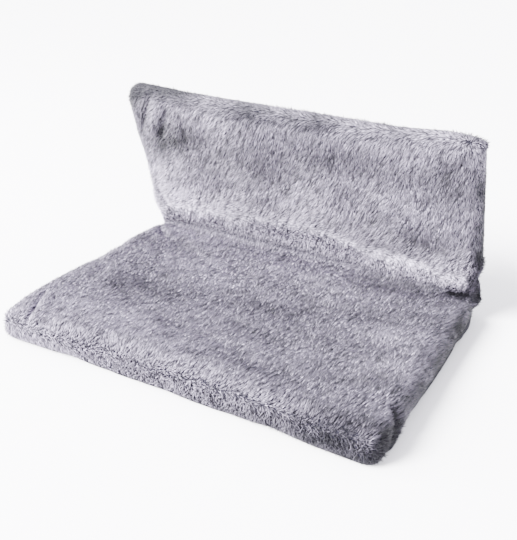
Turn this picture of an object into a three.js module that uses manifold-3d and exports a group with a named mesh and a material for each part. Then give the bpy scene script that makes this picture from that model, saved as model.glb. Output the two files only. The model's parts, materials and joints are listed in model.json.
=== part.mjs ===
import * as THREE from 'three';
import { mergeVertices } from 'three/addons/utils/BufferGeometryUtils.js';
import Module from 'manifold-3d';

// A fold-flat cat bed that hooks over a radiator or a sill: a padded seat and a padded back, each a plush
// cover over a bent steel hoop, hinged together along their inner corner. Millimetres, +Z up, the front
// towards -Y, the origin at the centre of the flat underside.

const wasm = await Module();
wasm.setup();

// Whole bed
const WIDTH = 460;
const SEAT_LENGTH = 312;
const SEAT_THICK = 36;
const BACK_LENGTH = 214;
const BACK_THICK = 28;
const BACK_LEAN = THREE.MathUtils.degToRad(19);
const HEEL_LIFT = 3;
const END_GAP = 1;
const CLEAR = 0.3;
const OVERRUN = 2;

// Cover and filling
const PLUSH = 4.5;
const LINING = 2.5;
const PADDING_CLEAR = 0.5;
const SEAT_PADDING = 9;
const BACK_PADDING = 5;
const SEAT_CORNER = 40;
const BACK_CORNER = 34;
const LEAST_CORNER = 4;
const SEAT_SAG = 9.5;
const BACK_SAG = 6;
const FIELD_INSET = 44;
const CORNER_REACH = 46;
const CORNER_BLEND = 36;
const CORNER_TANGENT = 27;
const HEEL_TOP = 17;

// The stretched corner of the cover at the top right
const TIP_OUT = 12.5;
const TIP_ANGLE = THREE.MathUtils.degToRad(32);
const TIP_SPREAD = THREE.MathUtils.degToRad(13);

// Shape of a padded face: its roll over the tube, then the groove inside the tube and the sagging field
const ROLL_ANGLES = [0, 30, 60, 90, 120].map(THREE.MathUtils.degToRad);
const GROOVE_SAG_SHARE = 0.37;
const FIELD_PLAN_SHARES = [1, 0.7, 0.38, 0];
const FIELD_SAG_SHARES = [0.34, 0.66, 0.9, 1];
const STRIP_COLUMN_SHARES = [0.55, 0, -0.55];
const CORNER_STEPS = 6;
const LONG_STEPS = 8;
const SHORT_STEPS = 6;
const ARC_STEPS = 6;

// Tubes
const SEAT_TUBE_RADIUS = 7;
const BACK_TUBE_RADIUS = 6;
const TUBE_CLEAR = 0.6;
const TUBE_SIDES = 14;
const BEND_STEPS = 7;

// Fold hinges
const HINGE_INSET = 60;
const LUG_THICK = 3;
const EYE_RADIUS = 7;
const LUG_ROOT_HALF = 5;
const BOLT_RADIUS = 3;
const BOLT_CLEAR = 0.2;
const BOLT_HEAD_RADIUS = 5.6;
const BOLT_HEAD_THICK = 3.4;
const WASHER_THICK = 1.5;
const WASHER_RADIUS = 6.4;
const NUT_HALF_FLATS = 5;
const NUT_THICK = 5;
const DOME_RISE = 2.4;
const SLOT_MARGIN = 5;

// Hooks
const HOOK_INSET = 110;
const RAIL_BOTTOM = 108;
const RAIL_HEIGHT = 20;
const STRIP_THICK = 3;
const STRIP_WIDTH = 22;
const RAIL_OVERLAP = 5;
const ARM_REACH = 64;
const STUD_RADIUS = 3;
const STUD_CLEAR = 0.3;
const STUD_OFFSET = 16;
const CLAW_TRAVEL = 40;
const CLAW_DROP = 48;
const CLAW_INNER_GAP = 6;
const CLAW_TIP_TURN = 8;
const LIP_THICK = 2;
const LIP_DROP = 4;
const BEND_OUTER = 6;
const CAP_WALL = 1.8;
const CAP_LENGTH = 20;
const KNOB_RADIUS = 10;
const KNOB_LOBE = 1.4;
const KNOB_LOBES = 6;
const KNOB_THICK = 11;
const BOLT_DOME_RADIUS = 7;
const BOLT_DOME_RISE = 2.2;
const RIVET_RADIUS = 2;
const RIVET_HEAD_RADIUS = 3.6;
const RIVET_HEAD_RISE = 1.2;
const RIVET_EDGE = 5.5;
const SLIT_MARGIN = 1;

// Zip along the foot of the back's rear panel
const ZIP_HEIGHT = 14;
const ZIP_INSET = 40;
const ZIP_SLOT_HALF = 3.5;
const ZIP_TAPE_WIDTH = 13;
const ZIP_TAPE_THICK = 0.9;
const ZIP_COIL_HALF = 2.3;
const ZIP_COIL_THICK = 1.8;
const ZIP_STOP_LENGTH = 4;
const SLIDER_LENGTH = 13;
const SLIDER_HALF_WIDTH = 4.8;
const SLIDER_NOSE_HALF = 3.4;
const SLIDER_THICK = 2.6;
const SLIDER_GAP = 4;
const BRIDGE_RADIUS = 0.9;
const BRIDGE_HALF = 3.6;
const BRIDGE_RISE = 2.6;
const PULLER_LENGTH = 24;
const PULLER_HALF_WIDTH = 3.2;
const PULLER_THICK = 1.4;
const PULLER_EYE_HALF = 2.2;

// Finishes
const plushFinish = { color: 0xaba9b4, roughness: 1, metalness: 0 };
const liningFinish = { color: 0x6e6d74, roughness: 0.9, metalness: 0 };
const paddingFinish = { color: 0xecebe6, roughness: 1, metalness: 0 };
const steelFinish = { color: 0xc9ccd0, roughness: 0.35, metalness: 0.9 };
const coatedFinish = { color: 0xe4e4e2, roughness: 0.45, metalness: 0.2 };
const plasticFinish = { color: 0x3b3c40, roughness: 0.5, metalness: 0 };
const nylonFinish = { color: 0xe9e7df, roughness: 0.6, metalness: 0 };

// Panels. Each lies in its own frame: x across, y from the fold line to the free edge, z = 0 at the crest
// of the rim on the cat's side, so that all of the panel lies below zero.
const seatPanel = {
  low: END_GAP,
  high: SEAT_LENGTH,
  thick: SEAT_THICK,
  corner: SEAT_CORNER,
  sag: SEAT_SAG,
  padding: SEAT_PADDING,
  tube: SEAT_TUBE_RADIUS,
  tip: 0,
};
const backPanel = {
  low: HEEL_LIFT - SEAT_THICK,
  high: BACK_LENGTH,
  thick: BACK_THICK,
  corner: BACK_CORNER,
  sag: BACK_SAG,
  padding: BACK_PADDING,
  tube: BACK_TUBE_RADIUS,
  tip: TIP_OUT,
};

const hingeX = WIDTH / 2 - HINGE_INSET;
const hookX = WIDTH / 2 - HOOK_INSET;
const zipHalf = WIDTH / 2 - ZIP_INSET;
const rearFace = -BACK_THICK;
const rearInside = LINING - BACK_THICK;

// Solids

function toSolid(geometry) {
  const bare = geometry.clone();
  bare.deleteAttribute('normal');
  bare.deleteAttribute('uv');
  const merged = mergeVertices(bare);
  const vertProperties = new Float32Array(merged.attributes.position.array);
  const triVerts = new Uint32Array(merged.index.array);
  return new wasm.Manifold(new wasm.Mesh({ numProp: 3, vertProperties, triVerts }));
}

function toGeometry(solid) {
  const mesh = solid.getMesh();
  const geometry = new THREE.BufferGeometry();
  geometry.setAttribute('position', new THREE.BufferAttribute(new Float32Array(mesh.vertProperties), 3));
  geometry.setIndex(new THREE.BufferAttribute(new Uint32Array(mesh.triVerts), 1));
  geometry.computeVertexNormals();
  return geometry;
}

function cut(geometry, ...cutters) {
  return toGeometry(cutters.reduce((solid, cutter) => solid.subtract(toSolid(cutter)), toSolid(geometry)));
}

function join(geometry, ...others) {
  return toGeometry(others.reduce((solid, other) => solid.add(toSolid(other)), toSolid(geometry)));
}

function block(x0, x1, y0, y1, z0, z1) {
  const geometry = new THREE.BoxGeometry(x1 - x0, y1 - y0, z1 - z0);
  return geometry.translate((x0 + x1) / 2, (y0 + y1) / 2, (z0 + z1) / 2);
}

// A round bar along x, y or z between two stations, centred on the other two coordinates in a and b.
function bar(axis, radius, from, to, a, b, sides = 24) {
  const geometry = new THREE.CylinderGeometry(radius, radius, to - from, sides);
  const middle = (from + to) / 2;
  if (axis === 'x') return geometry.rotateZ(-Math.PI / 2).translate(middle, a, b);
  if (axis === 'y') return geometry.translate(a, middle, b);
  return geometry.rotateX(Math.PI / 2).translate(a, b, middle);
}

// A profile drawn with y and z as its two coordinates, pushed out along x.
function pushAlongX(shape, x0, x1, curveSegments = 10) {
  const geometry = new THREE.ExtrudeGeometry(shape, { depth: x1 - x0, bevelEnabled: false, curveSegments });
  const toYZ = new THREE.Matrix4().makeBasis(
    new THREE.Vector3(0, 1, 0),
    new THREE.Vector3(0, 0, 1),
    new THREE.Vector3(1, 0, 0),
  );
  return geometry.applyMatrix4(toYZ).translate(x0, 0, 0);
}

// Rows of points joined into a closed skin. Each row holds as many points as the others.
function skin(rows, { around, endPoint = null }) {
  const count = rows[0].length;
  const positions = rows.flat(2);
  const index = [];
  const last = rows.length - (endPoint ? 0 : 1);
  for (let row = 0; row < last; row += 1) {
    const next = row + 1;
    for (let i = 0; i < count - (around ? 0 : 1); i += 1) {
      const j = (i + 1) % count;
      if (next < rows.length) {
        index.push(row * count + i, row * count + j, next * count + j);
        index.push(row * count + i, next * count + j, next * count + i);
      } else {
        index.push(row * count + i, row * count + j, rows.length * count);
      }
    }
  }
  if (endPoint) positions.push(...endPoint);
  return { positions, index };
}

function closedBody(skins) {
  const positions = [];
  const index = [];
  skins.forEach((part) => {
    const start = positions.length / 3;
    part.positions.forEach((value) => positions.push(value));
    part.index.forEach((value) => index.push(start + value));
  });
  const loose = new THREE.BufferGeometry();
  loose.setAttribute('position', new THREE.Float32BufferAttribute(positions, 3));
  loose.setIndex(index);
  const geometry = mergeVertices(loose);
  if (volumeOf(geometry) < 0) geometry.index.array.reverse();
  geometry.computeVertexNormals();
  return geometry;
}

function volumeOf(geometry) {
  const corner = [new THREE.Vector3(), new THREE.Vector3(), new THREE.Vector3()];
  const position = geometry.attributes.position;
  let sum = 0;
  for (let i = 0; i < geometry.index.count; i += 3) {
    corner.forEach((point, k) => point.fromBufferAttribute(position, geometry.index.getX(i + k)));
    sum += corner[0].dot(corner[1].clone().cross(corner[2]));
  }
  return sum / 6;
}

// Padded faces

// The rounded outline of a panel, drawn in by inset, counter-clockwise from its right side.
function outline(panel, inset) {
  const radius = Math.max(panel.corner - inset, LEAST_CORNER);
  const halfX = WIDTH / 2 - inset - radius;
  const halfY = (panel.high - panel.low) / 2 - inset - radius;
  const middle = (panel.high + panel.low) / 2;
  const signs = [[1, 1], [-1, 1], [-1, -1], [1, -1]];
  const tipDepth = Math.max(0, 1 - inset / (panel.thick / 2));
  const arcs = signs.map(([sx, sy], quarter) => {
    const arc = [];
    for (let step = 0; step <= CORNER_STEPS; step += 1) {
      const angle = (Math.PI / 2) * (step / CORNER_STEPS);
      const turned = angle + (Math.PI / 2) * quarter;
      const pull = quarter === 0 ? Math.exp(-(((angle - TIP_ANGLE) / TIP_SPREAD) ** 2)) : 0;
      const x = sx * halfX + radius * Math.cos(turned) + panel.tip * tipDepth * pull;
      arc.push([x, middle + sy * halfY + radius * Math.sin(turned)]);
    }
    return arc;
  });
  const points = [];
  arcs.forEach((arc, quarter) => {
    points.push(...arc);
    const [x0, y0] = arc[arc.length - 1];
    const [x1, y1] = arcs[(quarter + 1) % arcs.length][0];
    const steps = quarter % 2 === 0 ? LONG_STEPS : SHORT_STEPS;
    for (let step = 1; step < steps; step += 1) {
      const share = step / steps;
      points.push([x0 + (x1 - x0) * share, y0 + (y1 - y0) * share]);
    }
  });
  return points;
}

// Stations from a panel's seam over its rim to the middle of its face. Height is above the panel's
// middle plane, and the angle is the way that thickness is measured.
function stations(panel, side) {
  const roll = panel.thick / 2;
  const sag = side > 0 ? panel.sag : 0;
  const angles = side > 0 ? ROLL_ANGLES : ROLL_ANGLES.slice(0, -1);
  const rim = angles.map((angle) => {
    const beyond = angle > Math.PI / 2;
    const height = beyond ? roll - sag * GROOVE_SAG_SHARE : roll * Math.sin(angle);
    return { inset: roll - roll * Math.cos(angle), height, angle, plan: 1, onRim: true };
  });
  const field = FIELD_PLAN_SHARES.map((plan, i) => {
    const height = roll - sag * FIELD_SAG_SHARES[i];
    return { inset: FIELD_INSET, height, angle: Math.PI / 2, plan, onRim: false };
  });
  return [...rim, ...field];
}

function ringAt(panel, side, station, depth) {
  const middle = (panel.high + panel.low) / 2;
  const inset = station.inset + depth * Math.cos(station.angle);
  const height = Math.max(station.height - depth * Math.sin(station.angle), CLEAR / 2);
  const z = -panel.thick / 2 + side * height;
  return outline(panel, inset).map(([x, y]) => [x * station.plan, middle + (y - middle) * station.plan, z]);
}

// One layer of a panel on one side: 1 is the cat's side and -1 the outside. The depths of its two
// faces below the panel's surface are worked out for each station.
function layer(panel, side, outerDepth, innerDepth) {
  const all = stations(panel, side);
  const around = all.slice(0, -1);
  const middle = all[all.length - 1];
  const face = (depthAt) => {
    const rows = around.map((station) => ringAt(panel, side, station, depthAt(station)));
    return { rows, endPoint: ringAt(panel, side, middle, depthAt(middle))[0] };
  };
  const outer = face(outerDepth);
  const inner = face(innerDepth);
  const outerSkin = skin(outer.rows, { around: true, endPoint: outer.endPoint });
  const innerSkin = skin(inner.rows, { around: true, endPoint: inner.endPoint });
  innerSkin.index.reverse();
  const seam = skin([inner.rows[0], outer.rows[0]], { around: true });
  return closedBody([outerSkin, innerSkin, seam]);
}

// Filling hugs the tube at the rim and has its full thickness over the field.
function paddingLayer(panel) {
  const roll = panel.thick / 2;
  const top = () => PLUSH + PADDING_CLEAR;
  const bottom = (station) => {
    if (!station.onRim) return top() + panel.padding;
    const fromTube = Math.hypot(station.inset - roll, station.height);
    return fromTube - panel.tube - TUBE_CLEAR;
  };
  return layer(panel, 1, top, bottom);
}

function seatTopPlush() {
  const whole = layer(seatPanel, 1, () => 0, () => PLUSH);
  const half = WIDTH / 2 + OVERRUN;
  return cut(whole, block(-half, half, -OVERRUN, CORNER_REACH + CLEAR, -SEAT_THICK, OVERRUN));
}

function seatUnderside() {
  return layer(seatPanel, -1, () => 0, () => LINING);
}

// The seat's hinge lugs leave the filling through a slit each.
function seatPadding() {
  const slit = (side) => {
    const x = side * (hingeX + CLEAR + WASHER_THICK / 2 + LUG_THICK / 2);
    const half = LUG_THICK / 2 + OVERRUN;
    return block(x - half, x + half, -OVERRUN, SEAT_THICK / 2 + OVERRUN, -SEAT_THICK, OVERRUN);
  };
  return cut(paddingLayer(seatPanel), slit(1), slit(-1));
}

function backFrontPlush() {
  const whole = layer(backPanel, 1, () => 0, () => PLUSH);
  const half = WIDTH / 2 + TIP_OUT + OVERRUN;
  const low = backPanel.low - OVERRUN;
  return cut(whole, block(-half, half, low, CORNER_REACH + CLEAR, -BACK_THICK, OVERRUN));
}

function backHeelPlush() {
  const whole = layer(backPanel, 1, () => 0, () => PLUSH);
  const half = WIDTH / 2 + TIP_OUT + OVERRUN;
  return cut(whole, block(-half, half, -HEEL_TOP, BACK_LENGTH + OVERRUN, -BACK_THICK, OVERRUN));
}

function backPadding() {
  const notch = (side) => {
    const x = side * hingeX;
    const half = EYE_RADIUS + SLOT_MARGIN;
    const low = backPanel.low + BACK_THICK / 2 - OVERRUN;
    return block(x - half, x + half, low, half, -BACK_THICK, OVERRUN);
  };
  return cut(paddingLayer(backPanel), notch(1), notch(-1));
}

function backRearPanel() {
  const armHalf = STRIP_WIDTH / 2 + SLIT_MARGIN;
  const armLow = RAIL_BOTTOM + RAIL_HEIGHT + CLEAR;
  const below = rearFace - OVERRUN;
  const above = rearInside + OVERRUN;
  const slit = (side) => {
    const x = side * hookX;
    const top = armLow + STRIP_THICK + SLIT_MARGIN;
    return block(x - armHalf, x + armHalf, armLow - SLIT_MARGIN, top, below, above);
  };
  const low = ZIP_HEIGHT - ZIP_SLOT_HALF;
  const high = ZIP_HEIGHT + ZIP_SLOT_HALF;
  const zipSlot = block(-zipHalf, zipHalf, low, high, below, above);
  return cut(layer(backPanel, -1, () => 0, () => LINING), slit(1), slit(-1), zipSlot);
}

// The plush that runs on from the seat into the back, in the seat's frame. Each row is one line along x,
// from the seat's cut edge round the inner corner to the back's, with the panels' own section across it.
function cornerPlush() {
  const inner = Math.PI / 2 - BACK_LEAN;
  const turn = Math.PI - inner;
  const radius = CORNER_TANGENT * Math.tan(inner / 2);
  const alongBack = [Math.cos(inner), Math.sin(inner)];
  const offBack = [Math.sin(inner), -Math.cos(inner)];
  const rows = [];
  const addRow = (y, z, ny, nz, share, flat) => rows.push({ y, z, ny, nz, share, flat });
  addRow(CORNER_REACH, 0, 0, 1, 0, 1);
  addRow(CORNER_BLEND, 0, 0, 1, 0, (CORNER_BLEND - CORNER_TANGENT) / (CORNER_REACH - CORNER_TANGENT));
  for (let step = 0; step <= ARC_STEPS; step += 1) {
    const share = step / ARC_STEPS;
    const angle = turn * share;
    const ny = Math.sin(angle);
    const nz = Math.cos(angle);
    addRow(CORNER_TANGENT - radius * ny, radius - radius * nz, ny, nz, share, 0);
  }
  [CORNER_BLEND, CORNER_REACH].forEach((reach) => {
    const flat = (reach - CORNER_TANGENT) / (CORNER_REACH - CORNER_TANGENT);
    addRow(alongBack[0] * reach, alongBack[1] * reach, offBack[0], offBack[1], 1, flat);
  });
  const face = (depth) => rows.map((row) => cornerRow(row, depth));
  const outer = face(0);
  const under = face(PLUSH);
  const outerSkin = skin(outer, { around: false });
  const underSkin = skin(under, { around: false });
  underSkin.index.reverse();
  const firstEdge = skin([under[0], outer[0]], { around: false });
  const lastEdge = skin([outer[outer.length - 1], under[under.length - 1]], { around: false });
  const leftEnd = skin([outer.map((row) => row[0]), under.map((row) => row[0])], { around: false });
  const last = outer[0].length - 1;
  const rightEnd = skin([under.map((row) => row[last]), outer.map((row) => row[last])], { around: false });
  return closedBody([outerSkin, underSkin, firstEdge, lastEdge, leftEnd, rightEnd]);
}

// One line of the corner plush: the rim's roll at each end and the groove and field between them, at a
// mix of the seat's section and the back's.
function cornerRow(row, depth) {
  const mix = (key) => seatPanel[key] + (backPanel[key] - seatPanel[key]) * row.share;
  const panel = { thick: mix('thick'), sag: mix('sag') };
  const roll = panel.thick / 2;
  const rim = stations(panel, 1).filter((station) => station.plan === 1);
  const half = rim.map((station) => {
    const sunk = station.angle > Math.PI / 2 || !station.onRim ? (roll - station.height) * row.flat : 0;
    const rolled = station.onRim && station.angle <= Math.PI / 2 ? roll - station.height : 0;
    const inset = station.inset + depth * Math.cos(station.angle);
    const down = sunk + rolled + depth * Math.sin(station.angle);
    return { x: WIDTH / 2 - inset, down: Math.min(down, roll - CLEAR / 2) };
  });
  const span = WIDTH / 2 - FIELD_INSET;
  const edge = half[half.length - 1];
  const between = STRIP_COLUMN_SHARES.map((share) => ({ x: span * share, down: edge.down }));
  const mirrored = half.map(({ x, down }) => ({ x: -x, down })).reverse();
  return [...half, ...between, ...mirrored].map(({ x, down }) => [x, row.y - row.ny * down, row.z - row.nz * down]);
}

// Hoops of bent tube

function hoop(panel) {
  const inset = panel.thick / 2;
  const bend = panel.corner - inset;
  const halfX = WIDTH / 2 - inset - bend;
  const halfY = (panel.high - panel.low) / 2 - inset - bend;
  const middle = (panel.high + panel.low) / 2;
  const rows = [];
  [[1, 1], [-1, 1], [-1, -1], [1, -1]].forEach(([sx, sy], quarter) => {
    for (let step = 0; step <= BEND_STEPS; step += 1) {
      const angle = (Math.PI / 2) * (quarter + step / BEND_STEPS);
      const ring = [];
      for (let side = 0; side < TUBE_SIDES; side += 1) {
        const around = (2 * Math.PI * side) / TUBE_SIDES;
        const reach = bend + panel.tube * Math.cos(around);
        const x = sx * halfX + reach * Math.cos(angle);
        const y = middle + sy * halfY + reach * Math.sin(angle);
        ring.push([x, y, -inset + panel.tube * Math.sin(around)]);
      }
      rows.push(ring);
    }
  });
  return closedBody([skin([...rows, rows[0]], { around: true })]);
}

// A hinge lug: an eye round the fold line and an arm that ends in a saddle on the panel's tube.
function hingeLug(panel, x0) {
  const centre = new THREE.Vector2(panel.low + panel.thick / 2, -panel.thick / 2);
  const reach = centre.length();
  const seat = panel.tube + CLEAR;
  const saddle = Math.asin(LUG_ROOT_HALF / seat);
  const spread = Math.acos((EYE_RADIUS - LUG_ROOT_HALF) / reach);
  const shape = new THREE.Shape();
  shape.absarc(0, 0, EYE_RADIUS, spread, 2 * Math.PI - spread, false);
  shape.absarc(reach, 0, seat, Math.PI + saddle, Math.PI - saddle, true);
  const hole = new THREE.Path();
  hole.absarc(0, 0, BOLT_RADIUS + BOLT_CLEAR, 0, 2 * Math.PI, true);
  shape.holes.push(hole);
  const plate = pushAlongX(shape, 0, LUG_THICK);
  return plate.rotateX(centre.angle()).translate(x0, 0, 0);
}

// Hinge bolt, washer and nut on the fold line, drawn for the right-hand side with the head outwards.
function hingeStack() {
  const lugInner = WASHER_THICK / 2 + CLEAR;
  const outside = lugInner + LUG_THICK + CLEAR;
  const nutFace = -outside;
  const head = [
    [0, outside + BOLT_HEAD_THICK],
    [BOLT_HEAD_RADIUS / 2, outside + BOLT_HEAD_THICK * 0.9],
    [BOLT_HEAD_RADIUS, outside + BOLT_HEAD_THICK * 0.4],
    [BOLT_HEAD_RADIUS, outside],
    [BOLT_RADIUS, outside],
    [BOLT_RADIUS, nutFace - NUT_THICK * 0.8],
    [0, nutFace - NUT_THICK * 0.8],
  ];
  return { lugInner, outside, nutFace, head };
}

// A profile of [radius, height] pairs revolved about x, with heights growing towards +x.
function revolveAboutX(profile, segments = 24) {
  const points = profile.map(([radius, height]) => new THREE.Vector2(radius, height));
  return facedOut(new THREE.LatheGeometry(points, segments).rotateZ(-Math.PI / 2));
}

function facedOut(geometry) {
  const bare = geometry.clone();
  bare.deleteAttribute('normal');
  bare.deleteAttribute('uv');
  const merged = mergeVertices(bare);
  const kept = [];
  const index = merged.index.array;
  for (let i = 0; i < index.length; i += 3) {
    const [a, b, c] = [index[i], index[i + 1], index[i + 2]];
    if (a !== b && b !== c && c !== a) kept.push(a, b, c);
  }
  merged.setIndex(kept);
  if (volumeOf(merged) < 0) merged.index.array.reverse();
  merged.computeVertexNormals();
  return merged;
}

function hingeBolt() {
  return revolveAboutX(hingeStack().head);
}

function hingeWasher() {
  const half = WASHER_THICK / 2;
  const bore = BOLT_RADIUS + BOLT_CLEAR;
  return revolveAboutX([[bore, -half], [WASHER_RADIUS, -half], [WASHER_RADIUS, half], [bore, half], [bore, -half]]);
}

// A dome nut: a hexagon with a blind bore towards the lug and a rounded cap on the other side.
function hingeNut() {
  const { nutFace } = hingeStack();
  const radius = NUT_HALF_FLATS / Math.cos(Math.PI / 6);
  const hexagon = bar('x', radius, nutFace - NUT_THICK, nutFace, 0, 0, 6);
  const domeBase = nutFace - NUT_THICK + OVERRUN;
  const dome = revolveAboutX([
    [0, domeBase - OVERRUN - DOME_RISE],
    [NUT_HALF_FLATS * 0.6, domeBase - OVERRUN - DOME_RISE * 0.8],
    [NUT_HALF_FLATS * 0.9, domeBase - OVERRUN],
    [NUT_HALF_FLATS * 0.9, domeBase],
    [0, domeBase],
  ]);
  const bore = bar('x', BOLT_RADIUS + BOLT_CLEAR, nutFace - NUT_THICK * 0.8 - CLEAR, nutFace + OVERRUN, 0, 0);
  return cut(join(hexagon, dome), bore);
}

// Hooks, drawn for x = 0 in the back's frame

const railTop = RAIL_BOTTOM + RAIL_HEIGHT;
const railFront = -BACK_THICK / 2 - BACK_TUBE_RADIUS - CLEAR;
const railRear = railFront - STRIP_THICK;
const armBottom = railTop + CLEAR;
const armTop = armBottom + STRIP_THICK;
const legRear = railFront + CLEAR;
const legFront = legRear + STRIP_THICK;
const armEnd = rearFace - ARM_REACH;
const clawBottom = armTop + CLEAR;
const clawTop = clawBottom + STRIP_THICK;
const clawInnerEnd = rearFace - CLAW_INNER_GAP;
const clawFace = armEnd - CLEAR;
const clawFoot = clawTop - CLAW_DROP;
const studZ = rearFace - STUD_OFFSET;
const rivetHeights = [RAIL_BOTTOM + RIVET_EDGE, railTop - RIVET_EDGE];

// A flat rail welded across the back of both uprights.
function hookRail() {
  const half = WIDTH / 2 - BACK_THICK / 2 + RAIL_OVERLAP;
  const plate = block(-half, half, RAIL_BOTTOM, railTop, railRear, railFront);
  const holes = [1, -1].flatMap((side) => rivetHeights.map((y) => (
    bar('z', RIVET_RADIUS + CLEAR, railRear - OVERRUN, railFront + OVERRUN, side * hookX, y, 16)
  )));
  return cut(plate, ...holes);
}

// A strip bent over the rail's top edge, slotted for the clamp screw.
function hookArm() {
  const half = STRIP_WIDTH / 2;
  const bend = BEND_OUTER;
  const profile = new THREE.Shape();
  profile.moveTo(RAIL_BOTTOM, legRear);
  profile.lineTo(armBottom, legRear);
  profile.lineTo(armBottom, armEnd);
  profile.lineTo(armTop, armEnd);
  profile.lineTo(armTop, legFront - bend);
  profile.absarc(armTop - bend, legFront - bend, bend, 0, Math.PI / 2, false);
  profile.lineTo(RAIL_BOTTOM, legFront);
  profile.closePath();
  const strip = pushAlongX(profile, -half, half, 6);
  const slotRadius = STUD_RADIUS + STUD_CLEAR;
  const slotEnd = studZ - CLAW_TRAVEL - slotRadius;
  const slot = block(-slotRadius, slotRadius, armBottom - OVERRUN, armTop + OVERRUN, slotEnd, studZ + slotRadius);
  const holes = rivetHeights.map((y) => (
    bar('z', RIVET_RADIUS + CLEAR, legRear - OVERRUN, legFront + OVERRUN, 0, y, 16)
  ));
  return cut(strip, slot, ...holes);
}

function hookRivet() {
  const rear = railRear - CLEAR;
  const front = legFront + CLEAR;
  const profile = [
    [0, rear - RIVET_HEAD_RISE],
    [RIVET_HEAD_RADIUS * 0.6, rear - RIVET_HEAD_RISE * 0.8],
    [RIVET_HEAD_RADIUS, rear],
    [RIVET_RADIUS, rear],
    [RIVET_RADIUS, front],
    [RIVET_HEAD_RADIUS, front],
    [RIVET_HEAD_RADIUS * 0.6, front + RIVET_HEAD_RISE * 0.8],
    [0, front + RIVET_HEAD_RISE],
  ];
  const points = profile.map(([radius, height]) => new THREE.Vector2(radius, height));
  return facedOut(new THREE.LatheGeometry(points, 16).rotateX(Math.PI / 2));
}

// The sliding hook: a strip on top of the arm with a lip down each side, bent down over the far side of
// the radiator, its foot turned out a little.
function hookClaw() {
  const half = STRIP_WIDTH / 2 + CLEAR + LIP_THICK;
  const t = STRIP_THICK;
  const bend = BEND_OUTER;
  const profile = new THREE.Shape();
  profile.moveTo(clawBottom, clawInnerEnd);
  profile.lineTo(clawBottom, clawFace);
  profile.lineTo(clawFoot + CLAW_TIP_TURN, clawFace);
  profile.lineTo(clawFoot, clawFace - CLAW_TIP_TURN / 2);
  profile.lineTo(clawFoot, clawFace - CLAW_TIP_TURN / 2 - t);
  profile.lineTo(clawFoot + CLAW_TIP_TURN, clawFace - t);
  profile.lineTo(clawTop - bend, clawFace - t);
  profile.absarc(clawTop - bend, clawFace - t + bend, bend, -Math.PI / 2, 0, false);
  profile.lineTo(clawTop, clawInnerEnd);
  profile.closePath();
  const strip = pushAlongX(profile, -half, half, 6);
  const lip = (side) => {
    const inner = side * (half - LIP_THICK);
    const x = [inner, side * half].sort((a, b) => a - b);
    return block(x[0], x[1], clawBottom - LIP_DROP, clawTop, clawFace + bend, clawInnerEnd);
  };
  const hole = bar('y', STUD_RADIUS + STUD_CLEAR, clawBottom - OVERRUN, clawTop + OVERRUN, 0, studZ, 20);
  return cut(join(strip, lip(1), lip(-1)), hole);
}

// A soft cap pushed onto the claw's straight leg above its turned foot stays on by its own grip.
function clawCap() {
  const half = STRIP_WIDTH / 2 + CLEAR + LIP_THICK + CLEAR;
  const outer = half + CAP_WALL;
  const front = clawFace + CLEAR + CAP_WALL;
  const rear = clawFace - CLAW_TIP_TURN / 2 - STRIP_THICK - CLEAR - CAP_WALL;
  const low = clawFoot - CLEAR - CAP_WALL;
  const high = clawFoot + CAP_LENGTH;
  const shape = new THREE.Shape();
  shape.moveTo(low + CAP_WALL, rear);
  shape.lineTo(high, rear + CLAW_TIP_TURN / 2);
  shape.lineTo(high, front);
  shape.lineTo(clawFoot + CLAW_TIP_TURN, front);
  shape.lineTo(low, front - CLAW_TIP_TURN / 2);
  shape.lineTo(low, rear + CAP_WALL);
  shape.closePath();
  const body = pushAlongX(shape, -outer, outer);
  const pocket = new THREE.Shape();
  pocket.moveTo(clawFoot - CLEAR, clawFace - CLAW_TIP_TURN / 2 + CLEAR);
  pocket.lineTo(clawFoot + CLAW_TIP_TURN, clawFace + CLEAR);
  pocket.lineTo(high + OVERRUN, clawFace + CLEAR);
  pocket.lineTo(high + OVERRUN, clawFace - STRIP_THICK - CLEAR);
  pocket.lineTo(clawFoot + CLAW_TIP_TURN, clawFace - STRIP_THICK - CLEAR);
  pocket.lineTo(clawFoot - CLEAR, clawFace - CLAW_TIP_TURN / 2 - STRIP_THICK - CLEAR);
  pocket.closePath();
  return cut(body, pushAlongX(pocket, -half, half));
}

// A carriage bolt: a shallow dome under the arm, a square neck that slides in the arm's slot without
// turning, and a round shank up through the claw into the knob.
function clampBolt() {
  const face = armBottom - CLEAR;
  const tip = clawTop + CLEAR + KNOB_THICK / 2 - CLEAR;
  const profile = [
    [0, face - BOLT_DOME_RISE],
    [BOLT_DOME_RADIUS * 0.6, face - BOLT_DOME_RISE * 0.8],
    [BOLT_DOME_RADIUS, face - BOLT_DOME_RISE * 0.2],
    [BOLT_DOME_RADIUS, face],
    [STUD_RADIUS, face],
    [STUD_RADIUS, tip],
    [0, tip],
  ];
  const points = profile.map(([radius, height]) => new THREE.Vector2(radius, height));
  const turned = facedOut(new THREE.LatheGeometry(points, 20));
  const neck = block(-STUD_RADIUS, STUD_RADIUS, face - BOLT_DOME_RISE / 2, armTop, -STUD_RADIUS, STUD_RADIUS);
  return join(turned, neck);
}

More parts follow.
